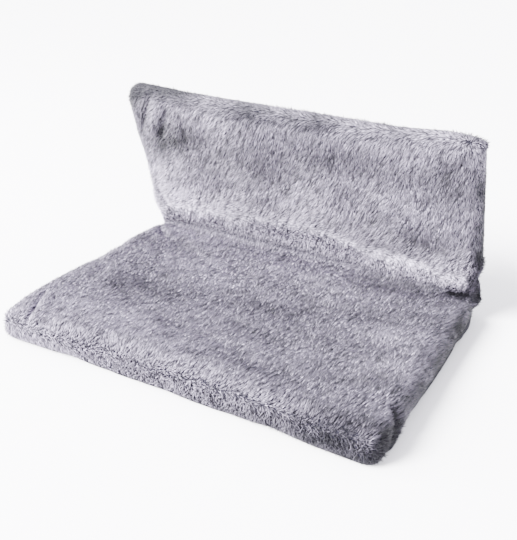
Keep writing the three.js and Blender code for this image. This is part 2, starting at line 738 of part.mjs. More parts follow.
// A lobed knob with a blind hole for the stud.
function clampKnob() {
  const low = clawTop + CLEAR;
  const shape = new THREE.Shape();
  const steps = KNOB_LOBES * 6;
  for (let step = 0; step < steps; step += 1) {
    const angle = (2 * Math.PI * step) / steps;
    const radius = KNOB_RADIUS - KNOB_LOBE / 2 + (KNOB_LOBE / 2) * Math.cos(KNOB_LOBES * angle);
    if (step === 0) shape.moveTo(radius * Math.cos(angle), radius * Math.sin(angle));
    else shape.lineTo(radius * Math.cos(angle), radius * Math.sin(angle));
  }
  shape.closePath();
  const body = new THREE.ExtrudeGeometry(shape, {
    depth: KNOB_THICK - KNOB_LOBE,
    bevelEnabled: true,
    bevelThickness: KNOB_LOBE / 2,
    bevelSize: KNOB_LOBE / 2,
    bevelOffset: -KNOB_LOBE / 2,
    bevelSegments: 1,
  });
  body.rotateX(-Math.PI / 2).translate(0, low + KNOB_LOBE / 2, 0);
  return cut(body, bar('y', STUD_RADIUS + STUD_CLEAR, low - OVERRUN, low + KNOB_THICK / 2, 0, 0, 20));
}

// Zip

const tapeRear = rearInside + CLEAR;
const coilFront = rearInside;
const coilRear = coilFront - ZIP_COIL_THICK;
const sliderFront = rearFace - CLEAR;
const sliderRear = sliderFront - SLIDER_THICK;
const bridgeZ = sliderRear - BRIDGE_RISE;
const sliderX = zipHalf - ZIP_STOP_LENGTH - SLIDER_GAP - SLIDER_LENGTH / 2;

function zipTape(side) {
  const near = ZIP_HEIGHT + side * (CLEAR / 2);
  const far = ZIP_HEIGHT + side * ZIP_TAPE_WIDTH;
  const [low, high] = side > 0 ? [near, far] : [far, near];
  const half = zipHalf + ZIP_STOP_LENGTH;
  return block(-half, half, low, high, tapeRear, tapeRear + ZIP_TAPE_THICK);
}

function zipCoil() {
  const half = zipHalf - ZIP_STOP_LENGTH - CLEAR;
  const low = ZIP_HEIGHT - ZIP_COIL_HALF;
  const high = ZIP_HEIGHT + ZIP_COIL_HALF;
  const profile = new THREE.Shape();
  profile.moveTo(low, coilFront);
  profile.lineTo(high, coilFront);
  profile.lineTo(high, coilRear + ZIP_COIL_THICK / 2);
  profile.quadraticCurveTo(high, coilRear, ZIP_HEIGHT, coilRear);
  profile.quadraticCurveTo(low, coilRear, low, coilRear + ZIP_COIL_THICK / 2);
  profile.closePath();
  return pushAlongX(profile, -half, half, 3);
}

function zipStop(side) {
  const outer = side * (zipHalf - CLEAR);
  const inner = side * (zipHalf - ZIP_STOP_LENGTH);
  const [x0, x1] = side > 0 ? [inner, outer] : [outer, inner];
  return block(x0, x1, ZIP_HEIGHT - ZIP_COIL_HALF, ZIP_HEIGHT + ZIP_COIL_HALF, coilRear, coilFront);
}

// A slider that straddles the coil, narrower at its nose, with a bridge for the puller.
function zipSlider() {
  const half = SLIDER_LENGTH / 2;
  const shape = new THREE.Shape();
  shape.moveTo(-half, -SLIDER_NOSE_HALF);
  shape.lineTo(0, -SLIDER_HALF_WIDTH);
  shape.lineTo(half, -SLIDER_HALF_WIDTH);
  shape.lineTo(half, SLIDER_HALF_WIDTH);
  shape.lineTo(0, SLIDER_HALF_WIDTH);
  shape.lineTo(-half, SLIDER_NOSE_HALF);
  shape.closePath();
  const plate = new THREE.ExtrudeGeometry(shape, { depth: SLIDER_THICK, bevelEnabled: false });
  plate.translate(0, 0, sliderRear);
  const keelHalf = ZIP_COIL_HALF - CLEAR;
  const keel = block(-half + BRIDGE_RADIUS, half - BRIDGE_RADIUS, -keelHalf, keelHalf, sliderRear, coilRear - CLEAR);
  const post = (side) => {
    const x = side * BRIDGE_HALF;
    return block(x - BRIDGE_RADIUS, x + BRIDGE_RADIUS, -BRIDGE_RADIUS, BRIDGE_RADIUS,
      bridgeZ - BRIDGE_RADIUS, sliderFront);
  };
  const rod = bar('x', BRIDGE_RADIUS, -BRIDGE_HALF, BRIDGE_HALF, 0, bridgeZ, 12);
  return join(plate, keel, post(1), post(-1), rod);
}

// A flat tab with an eye round the slider's bridge, its far end resting on the panel.
function zipPuller() {
  const eye = PULLER_EYE_HALF;
  const tab = new THREE.Shape();
  tab.moveTo(0, -PULLER_THICK / 2);
  tab.lineTo(PULLER_LENGTH, -PULLER_THICK / 2);
  tab.lineTo(PULLER_LENGTH, PULLER_THICK / 2);
  tab.lineTo(0, PULLER_THICK / 2);
  tab.closePath();
  const gap = BRIDGE_HALF - BRIDGE_RADIUS - CLEAR;
  const neck = pushAlongX(tab, -gap, gap);
  const wide = block(-PULLER_HALF_WIDTH, PULLER_HALF_WIDTH, SLIDER_HALF_WIDTH + OVERRUN, PULLER_LENGTH,
    -PULLER_THICK / 2, PULLER_THICK / 2);
  const barrel = bar('x', eye, -gap, gap, 0, 0, 16);
  const hole = bar('x', BRIDGE_RADIUS + CLEAR, -gap - OVERRUN, gap + OVERRUN, 0, 0, 12);
  return cut(join(neck, wide, barrel), hole);
}

// Assembly

function mesh(name, geometry, finish, place = () => {}) {
  const made = new THREE.Mesh(geometry, new THREE.MeshStandardMaterial(finish));
  made.name = name;
  place(made);
  return made;
}

function atX(x) {
  return (made) => made.position.set(x, 0, 0);
}

const sides = [['left', -1], ['right', 1]];
const bed = new THREE.Group();
const foldY = SEAT_LENGTH / 2;

const seat = new THREE.Group();
seat.position.set(0, foldY, SEAT_THICK);
seat.rotation.z = Math.PI;
const { lugInner } = hingeStack();
const lugOuter = -lugInner - LUG_THICK;
seat.add(
  mesh('seat_hoop', hoop(seatPanel), coatedFinish),
  mesh('seat_padding', seatPadding(), paddingFinish),
  mesh('seat_top_plush', seatTopPlush(), plushFinish),
  mesh('seat_underside', seatUnderside(), liningFinish),
  mesh('corner_plush', cornerPlush(), plushFinish),
);

const fold = new THREE.Group();
fold.position.set(0, foldY, SEAT_THICK);

const back = new THREE.Group();
back.position.set(0, foldY, SEAT_THICK);
back.rotation.x = Math.PI / 2 + BACK_LEAN;
back.add(
  mesh('back_hoop', hoop(backPanel), coatedFinish),
  mesh('back_padding', backPadding(), paddingFinish),
  mesh('back_front_plush', backFrontPlush(), plushFinish),
  mesh('back_heel_plush', backHeelPlush(), plushFinish),
  mesh('back_rear_panel', backRearPanel(), liningFinish),
  mesh('hook_rail', hookRail(), coatedFinish),
  mesh('zip_tape_upper', zipTape(1), liningFinish),
  mesh('zip_tape_lower', zipTape(-1), liningFinish),
  mesh('zip_coil', zipCoil(), plasticFinish),
  mesh('zip_slider', zipSlider(), steelFinish, (made) => made.position.set(sliderX, ZIP_HEIGHT, 0)),
);

const pullerRest = rearFace - CLEAR - PULLER_THICK / 2;
const pullerTilt = Math.asin((pullerRest - bridgeZ) / PULLER_LENGTH);
back.add(mesh('zip_puller', zipPuller(), steelFinish, (made) => {
  made.position.set(sliderX, ZIP_HEIGHT, bridgeZ);
  made.rotation.x = Math.PI - pullerTilt;
}));

sides.forEach(([label, side]) => {
  const seatLugX = side > 0 ? lugOuter : lugInner;
  seat.add(mesh(`seat_hinge_lug_${label}`, hingeLug(seatPanel, seatLugX), coatedFinish, atX(-side * hingeX)));
  const backLugX = side > 0 ? lugOuter : lugInner;
  back.add(mesh(`back_hinge_lug_${label}`, hingeLug(backPanel, backLugX), coatedFinish, atX(side * hingeX)));
  const turnOut = (made) => {
    made.position.set(side * hingeX, 0, 0);
    if (side < 0) made.rotation.z = Math.PI;
  };
  fold.add(
    mesh(`hinge_bolt_${label}`, hingeBolt(), steelFinish, turnOut),
    mesh(`hinge_washer_${label}`, hingeWasher(), nylonFinish, turnOut),
    mesh(`hinge_nut_${label}`, hingeNut(), steelFinish, turnOut),
  );
  const onHook = atX(side * hookX);
  back.add(
    mesh(`hook_arm_${label}`, hookArm(), coatedFinish, onHook),
    mesh(`hook_claw_${label}`, hookClaw(), coatedFinish, onHook),
    mesh(`claw_cap_${label}`, clawCap(), plasticFinish, onHook),
    mesh(`clamp_bolt_${label}`, clampBolt(), steelFinish, (made) => made.position.set(side * hookX, 0, studZ)),
    mesh(`clamp_knob_${label}`, clampKnob(), plasticFinish, (made) => made.position.set(side * hookX, 0, studZ)),
    mesh(`zip_stop_${label}`, zipStop(side), steelFinish),
  );
  ['lower', 'upper'].forEach((level, i) => {
    back.add(mesh(`hook_rivet_${label}_${level}`, hookRivet(), steelFinish, (made) => {
      made.position.set(side * hookX, rivetHeights[i], 0);
    }));
  });
});

bed.add(seat, fold, back);

export default bed;
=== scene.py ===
import json
import math
from contextlib import contextmanager

import bpy
import numpy as np
from mathutils import Matrix, Vector
from mathutils.bvhtree import BVHTree


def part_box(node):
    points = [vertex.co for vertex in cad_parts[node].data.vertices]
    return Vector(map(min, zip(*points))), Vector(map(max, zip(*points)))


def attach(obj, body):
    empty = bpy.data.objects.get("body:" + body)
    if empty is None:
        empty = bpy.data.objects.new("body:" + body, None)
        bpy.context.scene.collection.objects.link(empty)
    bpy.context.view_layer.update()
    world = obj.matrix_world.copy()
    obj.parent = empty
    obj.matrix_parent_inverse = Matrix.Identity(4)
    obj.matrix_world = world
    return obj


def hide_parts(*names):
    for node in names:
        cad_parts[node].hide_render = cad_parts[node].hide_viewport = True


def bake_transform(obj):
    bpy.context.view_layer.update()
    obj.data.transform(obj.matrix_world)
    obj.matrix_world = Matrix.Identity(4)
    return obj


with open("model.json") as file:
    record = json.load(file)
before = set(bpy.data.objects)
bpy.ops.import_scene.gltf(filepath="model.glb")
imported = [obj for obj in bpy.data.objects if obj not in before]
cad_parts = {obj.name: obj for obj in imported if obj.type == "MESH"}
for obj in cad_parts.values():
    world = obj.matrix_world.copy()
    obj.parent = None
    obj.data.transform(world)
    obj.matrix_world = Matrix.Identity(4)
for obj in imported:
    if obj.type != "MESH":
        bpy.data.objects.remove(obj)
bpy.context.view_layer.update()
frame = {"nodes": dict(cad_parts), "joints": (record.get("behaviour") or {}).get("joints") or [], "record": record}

bl_info = {
    "name": "Cat Window Bed",
    "version": (1, 0, 0),
    "blender": (4, 5, 0),
    "location": "View3D > Sidebar > Cat Bed",
    "description": "Dresses a folding plush cat bed with its cover, pile, linings, stitches, hooks and zip",
    "category": "Object",
}

MM = 0.001

fold_joint = next(joint for joint in frame["joints"] if joint["name"] == "fold")
FOLD_Y, FOLD_Z = fold_joint["pos_m"][1:3]
LEAN = math.radians(19)
seat_low, seat_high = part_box("seat_underside")
WIDTH = seat_high[0] - seat_low[0]
HALF = WIDTH / 2
SEAT_LENGTH = FOLD_Y - seat_low[1]
SEAT_THICK = FOLD_Z

# Sizes that the frame doesn't give; they are the ones in the part's source
BACK_LENGTH = 214 * MM
BACK_THICK = 28 * MM
HEEL = 33 * MM
HOOK_X = HALF - 110 * MM
ARM_TOP, ARM_BOTTOM = 131.3 * MM, 128.3 * MM
ZIP_Y = 14 * MM
ZIP_HALF = HALF - 40 * MM

# Openings in the rear lining, and how far inside their panels' edges the rows of stitches run
SLIT_Y = (ARM_TOP + ARM_BOTTOM) / 2
SLIT_HALF_X, SLIT_HALF_Y = 12 * MM, 3 * MM
ZIP_SLIT_HALF = 3.5 * MM
REAR_STITCHES_IN, SEAT_STITCHES_IN = 10 * MM, 14 * MM

# The seat's lower seam climbs from the front to the fold; the rear seam lies at this depth in the back's frame
SEAM_REAR, SEAM_FRONT = 16 * MM, 4 * MM
REAR_SEAM = -BACK_THICK + 7 * MM

# Linings and stitches stay above this height, so that the bed stands on the floor
FLOOR_GAP = 0.05 * MM

COLOUR = {"min": 0, "max": 1, "size": 3, "subtype": "COLOR"}


class CatBedSizes(bpy.types.PropertyGroup):
    pile_length: bpy.props.FloatProperty(
        name="Pile length", description="Length of one strand of the plush",
        default=6.2 * MM, min=2 * MM, max=12 * MM, unit="LENGTH")
    pile_spacing: bpy.props.FloatProperty(
        name="Strand spacing", description="Distance between neighbouring strands",
        default=1.18 * MM, min=0.8 * MM, max=4 * MM, unit="LENGTH")
    strand_radius: bpy.props.FloatProperty(
        name="Strand radius", description="Radius of a strand at its root",
        default=0.72 * MM, min=0.1 * MM, max=1 * MM, unit="LENGTH")
    pile_lay: bpy.props.FloatProperty(
        name="Pile lay", description="How far the pile lies over, as sideways reach for each unit of height",
        default=2.8, min=0, max=4, subtype="FACTOR")
    lock_spacing: bpy.props.FloatProperty(
        name="Lock spacing", description="Distance between the locks that strands gather in",
        default=1.5 * MM, min=1 * MM, max=12 * MM, unit="LENGTH")
    cover_swell: bpy.props.FloatProperty(
        name="Cover swell", description="The furthest the cloth may move while the filling swells it",
        default=2.2 * MM, min=0, max=10 * MM, unit="LENGTH")
    stitch_pitch: bpy.props.FloatProperty(
        name="Stitch pitch", description="Distance between the stitches of a seam",
        default=4.2 * MM, min=2 * MM, max=10 * MM, unit="LENGTH")
    # painted shade: this dark end of the pile's colour stands for the shade deep in the pile, at the strands' roots and
    # on the backing
    shaded_root_colour: bpy.props.FloatVectorProperty(
        name="Root colour", description="Colour deep in the pile", default=(0.006, 0.0056, 0.0085), **COLOUR)
    tip_colour: bpy.props.FloatVectorProperty(
        name="Tip colour", description="Colour of the brightest strand tips", default=(0.84, 0.75, 0.98), **COLOUR)
    lining_colour: bpy.props.FloatVectorProperty(
        name="Lining colour", description="Colour of the woven lining", default=(0.012, 0.0112, 0.0155), **COLOUR)
    thread_colour: bpy.props.FloatVectorProperty(
        name="Thread colour", description="Colour of the sewing thread", default=(0.13, 0.127, 0.15), **COLOUR)
    coat_colour: bpy.props.FloatVectorProperty(
        name="Coat colour", description="Colour of the powder coat on the steel", default=(0.62, 0.62, 0.61), **COLOUR)


# Places. Each panel has its own frame: x across, y from the fold to the free edge, z out of its padded face.


def seat_point(local):
    x, y, z = local[..., 0], local[..., 1], local[..., 2]
    return np.stack([x, FOLD_Y - y, FOLD_Z + z], axis=-1)


def back_point(local):
    x, y, z = local[..., 0], local[..., 1], local[..., 2]
    world_y = FOLD_Y - y * math.sin(LEAN) - z * math.cos(LEAN)
    world_z = FOLD_Z + y * math.cos(LEAN) - z * math.sin(LEAN)
    return np.stack([x, world_y, world_z], axis=-1)


def in_seat_frame(world):
    x, y, z = world[..., 0], world[..., 1], world[..., 2]
    return np.stack([x, FOLD_Y - y, z - FOLD_Z], axis=-1)


def in_back_frame(world):
    dy = world[..., 1] - FOLD_Y
    dz = world[..., 2] - FOLD_Z
    local_y = -dy * math.sin(LEAN) + dz * math.cos(LEAN)
    local_z = -dy * math.cos(LEAN) - dz * math.sin(LEAN)
    return np.stack([world[..., 0], local_y, local_z], axis=-1)


def back_share(world, start, end):
    """0 on the seat and 1 on the back, changing over where the two faces are equally near."""
    return ramp(in_seat_frame(world)[..., 2] - in_back_frame(world)[..., 2], start, end)


def seam_height(y):
    """Height of the seat's lower seam above the floor, for a distance y from the fold to the front."""
    return SEAM_REAR + (SEAM_FRONT - SEAM_REAR) * y / SEAT_LENGTH


BACK_ACROSS = Vector((1, 0, 0))
BACK_UP = Vector((0, -math.sin(LEAN), math.cos(LEAN)))
BACK_OUT = Vector((0, -math.cos(LEAN), -math.sin(LEAN)))
BACK_TURN = Matrix((BACK_ACROSS, BACK_UP, BACK_OUT)).transposed().to_4x4()


def back_vector(x, y, z=-BACK_THICK):
    """A place given in the back's frame, on its rear lining unless z says otherwise."""
    return Vector(back_point(np.array([x, y, z])))


def place_on_back(x, y, z=-BACK_THICK):
    """The 4 x 4 place of something that lies in the back's frame."""
    return Matrix.Translation(back_vector(x, y, z)) @ BACK_TURN


# Mesh helpers


def new_object(name, vertices, faces):
    mesh = bpy.data.meshes.new(name)
    mesh.from_pydata(np.asarray(vertices).reshape(-1, 3).tolist(), [], faces)
    mesh.update()
    made = bpy.data.objects.new(name, mesh)
    bpy.context.collection.objects.link(made)
    return made


def only(made):
    bpy.ops.object.select_all(action="DESELECT")
    made.select_set(True)
    bpy.context.view_layer.objects.active = made


def primitive(add, **settings):
    """A new primitive, alone in the selection."""
    bpy.ops.object.select_all(action="DESELECT")
    add(**settings)
    return bpy.context.active_object


def copy_of(made, name):
    copied = made.copy()
    copied.data = made.data.copy()
    copied.name = name
    copied.data.name = name
    bpy.context.collection.objects.link(copied)
    return copied


def coordinates(made):
    out = np.empty(len(made.data.vertices) * 3)
    made.data.vertices.foreach_get("co", out)
    return out.reshape(-1, 3)


def set_coordinates(made, points):
    made.data.vertices.foreach_set("co", np.asarray(points, dtype=np.float32).ravel())
    made.data.update()


def keep_above_floor(made):
    points = coordinates(made)
    points[:, 2] = np.maximum(points[:, 2], FLOOR_GAP)
    set_coordinates(made, points)


@contextmanager
def edit_mode(made):
    """Edit mode with all of one piece selected."""
    only(made)
    bpy.ops.object.mode_set(mode="EDIT")
    bpy.ops.mesh.select_all(action="SELECT")
    yield
    bpy.ops.object.mode_set(mode="OBJECT")


def face_outwards(made):
    with edit_mode(made):
        bpy.ops.mesh.normals_make_consistent(inside=False)


def smooth_by_angle(made, degrees):
    only(made)
    bpy.ops.object.shade_smooth_by_angle(angle=math.radians(degrees))


def apply_modifier(made, kind, name, **settings):
    only(made)
    modifier = made.modifiers.new(name, kind)
    for key, value in settings.items():
        setattr(modifier, key, value)
    bpy.ops.object.modifier_apply(modifier=modifier.name)


def bevel_edges(made, width, segments, degrees):
    """Rounds the edges that turn by more than the given angle."""
    apply_modifier(
        made, "BEVEL", "edges", width=width, segments=segments, limit_method="ANGLE", angle_limit=math.radians(degrees))


def keep_side(made, point, away):
    """Cuts a piece with a plane and throws away what lies on the side that away points to."""
    with edit_mode(made):
        bpy.ops.mesh.bisect(plane_co=point, plane_no=away, use_fill=False, clear_outer=True)


def surface_tree(made):
    return BVHTree.FromPolygons([v.co for v in made.data.vertices], [p.vertices for p in made.data.polygons])


def soft_bump(distance, width):
    return np.exp(-((distance / width) ** 2))


def ramp(value, start, end):
    return np.clip((value - start) / (end - start), 0, 1)


def lengths(vectors):
    return np.linalg.norm(vectors, axis=1, keepdims=True)


def part_along(vectors, axis):
    return (vectors * axis).sum(axis=1, keepdims=True) * axis


def fold_line(plan, start, end, width, ends):
    """How strongly each plan point lies on a fold drawn from start to end, fading past its ends."""
    a, b = np.array(start), np.array(end)
    along = b - a
    length = np.linalg.norm(along)
    along = along / length
    rel = plan - a
    t = rel @ along
    across = rel @ np.array([-along[1], along[0]])
    outside = np.maximum(np.maximum(-t, t - length), 0)
    return np.exp(-((across / width) ** 2)) * np.exp(-((outside / ends) ** 2))


def flow_noise(points, scale, seed):
    """A smooth random vector at each point, from a few sine waves in random directions."""
    rng = np.random.default_rng(seed)
    out = np.zeros_like(points)
    for _ in range(9):
        wave = rng.normal(size=3)
        wave *= (0.6 + rng.random()) / np.linalg.norm(wave) / scale * 2 * math.pi
        amplitude = rng.normal(size=3)
        out += np.sin(points @ wave + rng.random() * 2 * math.pi)[:, None] * amplitude
    return out / 3


# The padded body under the plush

# half: half the panel's width; low and high: its ends; roll and under_roll: radii of its rim's two edges;
# corner_top and corner_low: radii of its corners; sag: how far its face dips, in full from field inwards
SEAT = {
    "half": HALF - 1 * MM, "low": 0, "high": SEAT_LENGTH - 1 * MM, "thick": SEAT_THICK - 2 * MM,
    "roll": 12 * MM, "under_roll": 6 * MM, "corner_top": 15 * MM, "corner_low": 15 * MM,
    "field": 92 * MM, "sag": 7 * MM,
}
BACK = {
    "half": HALF - 1 * MM, "low": -HEEL, "high": BACK_LENGTH - 1 * MM, "thick": BACK_THICK - 2 * MM,
    "roll": 15 * MM, "under_roll": 9 * MM, "corner_top": 20 * MM, "corner_low": 16 * MM,
    "field": 70 * MM, "sag": 4 * MM,
}


def middle_and_reach(panel):
    return (panel["high"] + panel["low"]) / 2, (panel["high"] - panel["low"]) / 2


def rounded_plan(panel, inset):
    """The rounded outline of a panel drawn in by inset, as x and y in the panel's own frame."""
    top, low = panel["corner_top"], panel["corner_low"]
    middle, reach = middle_and_reach(panel)
    arcs = []
    for quarter, (sx, sy, corner) in enumerate(((1, 1, top), (-1, 1, top), (-1, -1, low), (1, -1, low))):
        radius = max(corner - inset, 5 * MM)
        turned = math.pi / 2 * (quarter + np.linspace(0, 1, 11))
        cx = sx * (panel["half"] - inset - radius)
        cy = middle + sy * (reach - inset - radius)
        arcs.append(np.column_stack([cx + radius * np.cos(turned), cy + radius * np.sin(turned)]))
    points = []
    for quarter, arc in enumerate(arcs):
        after = arcs[(quarter + 1) % 4][0]
        share = np.arange(1, 56)[:, None] / 56
        points += [arc, arc[-1] + (after - arc[-1]) * share]
    return np.vstack(points)


def edge_inset(panel, plan):
    """How far points lie inside the panel's outline."""
    middle, reach = middle_and_reach(panel)
    depth_x = panel["half"] - np.abs(plan[:, 0])
    depth_y = reach - np.abs(plan[:, 1] - middle)
    corner = np.where(plan[:, 1] > middle, panel["corner_top"], panel["corner_low"])
    cx, cy = np.maximum(corner - depth_x, 0), np.maximum(corner - depth_y, 0)
    return np.where((cx > 0) & (cy > 0), corner - np.hypot(cx, cy), np.minimum(depth_x, depth_y))


def face_drop(panel, plan):
    """How far the padded face lies below the crest of its rim."""
    middle, reach = middle_and_reach(panel)
    inside = ramp(edge_inset(panel, plan), panel["roll"], panel["field"])
    u = np.clip(np.abs(plan[:, 0]) / panel["half"], 0, 1)
    v = np.clip(np.abs(plan[:, 1] - middle) / reach, 0, 1)
    return panel["sag"] * (1 - u**2.4) * (1 - v**2.4) * inside * inside * (3 - 2 * inside)


def slab(name, panel, place):
    """The closed skin of one padded panel: rows of points from the middle of its face, round its rim, to the
    middle of its outside."""
    roll, under, thick = panel["roll"], panel["under_roll"], panel["thick"]
    middle = np.array([0.0, (panel["low"] + panel["high"]) / 2])
    rows = []
    inner = rounded_plan(panel, panel["field"])
    for share in np.linspace(0.06, 1, 14):
        plan = middle + (inner - middle) * share
        rows.append(np.column_stack([plan, -face_drop(panel, plan)]))
    for inset in np.linspace(panel["field"], roll, 8)[1:]:
        plan = rounded_plan(panel, inset)
        rows.append(np.column_stack([plan, -face_drop(panel, plan)]))
    edge = [(roll - roll * math.cos(a), roll * math.sin(a) - roll) for a in np.radians(np.arange(75, -1, -15))]
    edge += [(0, -roll - share * (thick - roll - under)) for share in (0.33, 0.67)]
    low_turn = np.radians(np.arange(0, 91, 15))
    edge += [(under - under * math.cos(a), under - thick - under * math.sin(a)) for a in low_turn]
    for inset, z in edge:
        plan = rounded_plan(panel, inset)
        rows.append(np.column_stack([plan, np.full(len(plan), z)]))
    inner = rounded_plan(panel, under)
    for share in np.linspace(0.85, 0.06, 8):
        plan = middle + (inner - middle) * share
        rows.append(np.column_stack([plan, np.full(len(plan), -panel["thick"])]))
    count = len(rows[0])
    poles = [[middle[0], middle[1], rows[0][:, 2].mean()], [middle[0], middle[1], -panel["thick"]]]
    points = np.vstack(rows + [poles])
    faces = []
    for r in range(len(rows) - 1):
        for i in range(count):
            j = (i + 1) % count
            faces.append((r * count + i, (r + 1) * count + i, (r + 1) * count + j, r * count + j))
    top, bottom = len(points) - 2, len(points) - 1
    for i in range(count):
        j = (i + 1) % count
        faces.append((top, i, j))
        faces.append((bottom, (len(rows) - 1) * count + j, (len(rows) - 1) * count + i))
    made = new_object(name, place(points), faces)
    face_outwards(made)
    return made


def inner_corner():
    """The filling behind the plush where the seat runs on into the back. Its section follows the sag of
    both faces, so the plush crosses the corner in one hollow curve."""
    inner = math.pi / 2 - LEAN
    tangent = 13 * MM
    radius = tangent * math.tan(inner / 2)
    back_way = np.array([math.cos(inner), math.sin(inner)])
    into_back = np.array([-math.sin(inner), math.cos(inner)])

    def section(x):
        def drop(panel, y):
            return face_drop(panel, np.array([[x, y]]))[0]

        seat_drop = drop(SEAT, 18 * MM)
        back_drop = drop(BACK, 18 * MM)
        points = [(44 * MM, -drop(SEAT, 44 * MM) - 3 * MM), (28 * MM, -drop(SEAT, 28 * MM) - 0.6 * MM)]
        for share in np.linspace(0, 1, 11):
            angle = (math.pi - inner) * share
            point = np.array([tangent - radius * math.sin(angle), radius - radius * math.cos(angle)])
            point += (1 - share) * seat_drop * np.array([0, -1]) + share * back_drop * into_back
            points.append(tuple(point))
        for reach, more in ((28 * MM, 0.6 * MM), (44 * MM, 3 * MM), (38 * MM, 10 * MM)):
            points.append(tuple(back_way * reach + into_back * (drop(BACK, reach) + more)))
        points += [(-6 * MM, -2 * MM), (2 * MM, -8 * MM), (38 * MM, -12 * MM)]
        return np.array(points)

    # the section shrinks towards a point below the fold near the two ends
    deep = np.array([0, -8 * MM])
    half = HALF - 30 * MM
    end_sizes = {1: 0.5, 0.985: 0.72, 0.955: 0.9}
    shares = [-1, -0.985, -0.955, -0.91] + list(np.linspace(-0.82, 0.82, 17)) + [0.91, 0.955, 0.985, 1]
    rows = []
    for share in shares:
        ring = deep + (section(share * half) - deep) * end_sizes.get(abs(share), 1)
        rows.append(np.column_stack([np.full(len(ring), share * half), ring]))
    count = len(rows[0])
    faces = []
    for r in range(len(rows) - 1):
        for i in range(count):
            j = (i + 1) % count
            faces.append((r * count + i, r * count + j, (r + 1) * count + j, (r + 1) * count + i))
    faces.append(tuple(range(count)))
    faces.append(tuple(reversed(range((len(rows) - 1) * count, len(rows) * count))))
    made = new_object("inner_corner", seat_point(np.vstack(rows)), faces)
    face_outwards(made)
    return made


VOXEL = 5 * MM
CLOTH = {
    "quality": 6, "mass": 0.3, "tension_stiffness": 12, "compression_stiffness": 12, "shear_stiffness": 6,
    "bending_stiffness": 0.3, "use_pressure": True, "uniform_pressure_force": 3, "shrink_min": -0.04,
}
CLOTH_FRAMES = 20


def inflate(made, cap):
    """Blows the closed cloth up a little with Blender's Cloth and keeps every point near where it was."""
    before = coordinates(made)
    only(made)
    cloth = made.modifiers.new("cloth", "CLOTH")
    for key, value in CLOTH.items():
        setattr(cloth.settings, key, value)
    cloth.settings.effector_weights.gravity = 0
    cloth.point_cache.frame_start = 1
    cloth.point_cache.frame_end = CLOTH_FRAMES
    scene = bpy.context.scene
    for frame_number in range(1, CLOTH_FRAMES + 1):
        scene.frame_set(frame_number)
    shaped = made.evaluated_get(bpy.context.evaluated_depsgraph_get())
    after = coordinates(shaped)
    made.modifiers.remove(cloth)
    scene.frame_set(1)
    moved = after - before
    far = np.maximum(lengths(moved), 1e-9)
    set_coordinates(made, before + moved * cap * np.tanh(far / cap) / far)


# Wrinkles as start x, y and end x, y in the panel's frame, depth and half width, all in millimetres
SEAT_WRINKLES = (
    (150, 62, 178, 50, 1.4, 6), (168, 84, 206, 70, 1.2, 6), (176, 104, 208, 98, 1.4, 6), (184, 130, 212, 124, 1.2, 6),
    (60, 262, 150, 274, 2, 9), (-60, 230, 40, 246, 1.6, 9), (-20, 180, 80, 214, 1.4, 10),
    (-150, 60, -90, 84, 1.2, 10), (90, 34, 170, 28, 1.2, 9), (-214, 20, -190, 44, 3, 5),
)
BACK_WRINKLES = (
    (-190, 207, -214, 160, 4, 3.6), (-166, 195, -184, 158, 3.6, 4.5), (-178, 201, -199, 160, -2.6, 6),
    (-146, 190, -150, 150, 1.6, 6), (212, 190, 190, 176, 1.8, 5), (60, 120, 110, 96, 1.6, 9),
    (-120, 110, -80, 92, 1.4, 9), (150, 70, 196, 62, 1.8, 7), (100, 52, 160, 44, 1.6, 8), (-212, 60, -196, 30, 2.6, 5),
)

# The gathered fold on the seat's right wall, from and to, as y and z in the seat's frame
GATHER = ((SEAT_LENGTH - 52 * MM, -3 * MM), (SEAT_LENGTH - 20 * MM, -28 * MM))

# Patches of painted sheen and shade, where the nap catches more or less light, as x, y in the panel's frame,
# radii across and along, and how much lighter or darker, all in millimetres but the last; they also lift and sink the
# padded face
SEAT_SHEEN_PATCHES = (
    (-120, 262, 70, 34, 0.1), (8, 292, 60, 22, 0.03), (-128, 181, 55, 40, -0.11), (-80, 100, 45, 30, 0.09),
    (35, 153, 60, 34, -0.05), (181, 140, 28, 26, 0.12), (206, 194, 18, 24, 0.08), (129, 17, 60, 20, -0.08),
    (100, 250, 60, 30, 0.01), (196, 306, 40, 18, -0.06), (-190, 60, 30, 50, -0.05), (60, 60, 70, 22, 0.06),
)
BACK_SHEEN_PATCHES = (
    (-89, 190, 70, 22, 0.08), (-150, 146, 50, 28, -0.13), (-188, 128, 22, 22, -0.1), (-165, 66, 46, 40, 0.14),
    (-120, 30, 60, 30, 0.02), (140, 24, 78, 26, 0.05), (155, 117, 38, 22, 0.1),
    (110, 166, 80, 24, -0.07), (161, 82, 26, 16, -0.08), (30, 90, 60, 40, 0.04), (-40, 130, 40, 26, -0.05),
    (-212, 200, 14, 20, -0.12), (200, 160, 30, 40, -0.12),
)


def sheen_patch_tone(local, patches):
    tone = np.zeros(len(local))
    for x, y, rx, ry, amount in patches:
        tone += amount * np.exp(-((local[:, 0] - x * MM) / (rx * MM)) ** 2 - ((local[:, 1] - y * MM) / (ry * MM)) ** 2)
    return tone


def wrinkle_lines(plan, wrinkles):
    """Each wrinkle's depth in millimetres, with how strongly the plan points lie on it."""
    for x0, y0, x1, y1, deep, wide in wrinkles:
        yield deep, fold_line(plan, (x0 * MM, y0 * MM), (x1 * MM, y1 * MM), wide * MM, wide * 1.6 * MM)


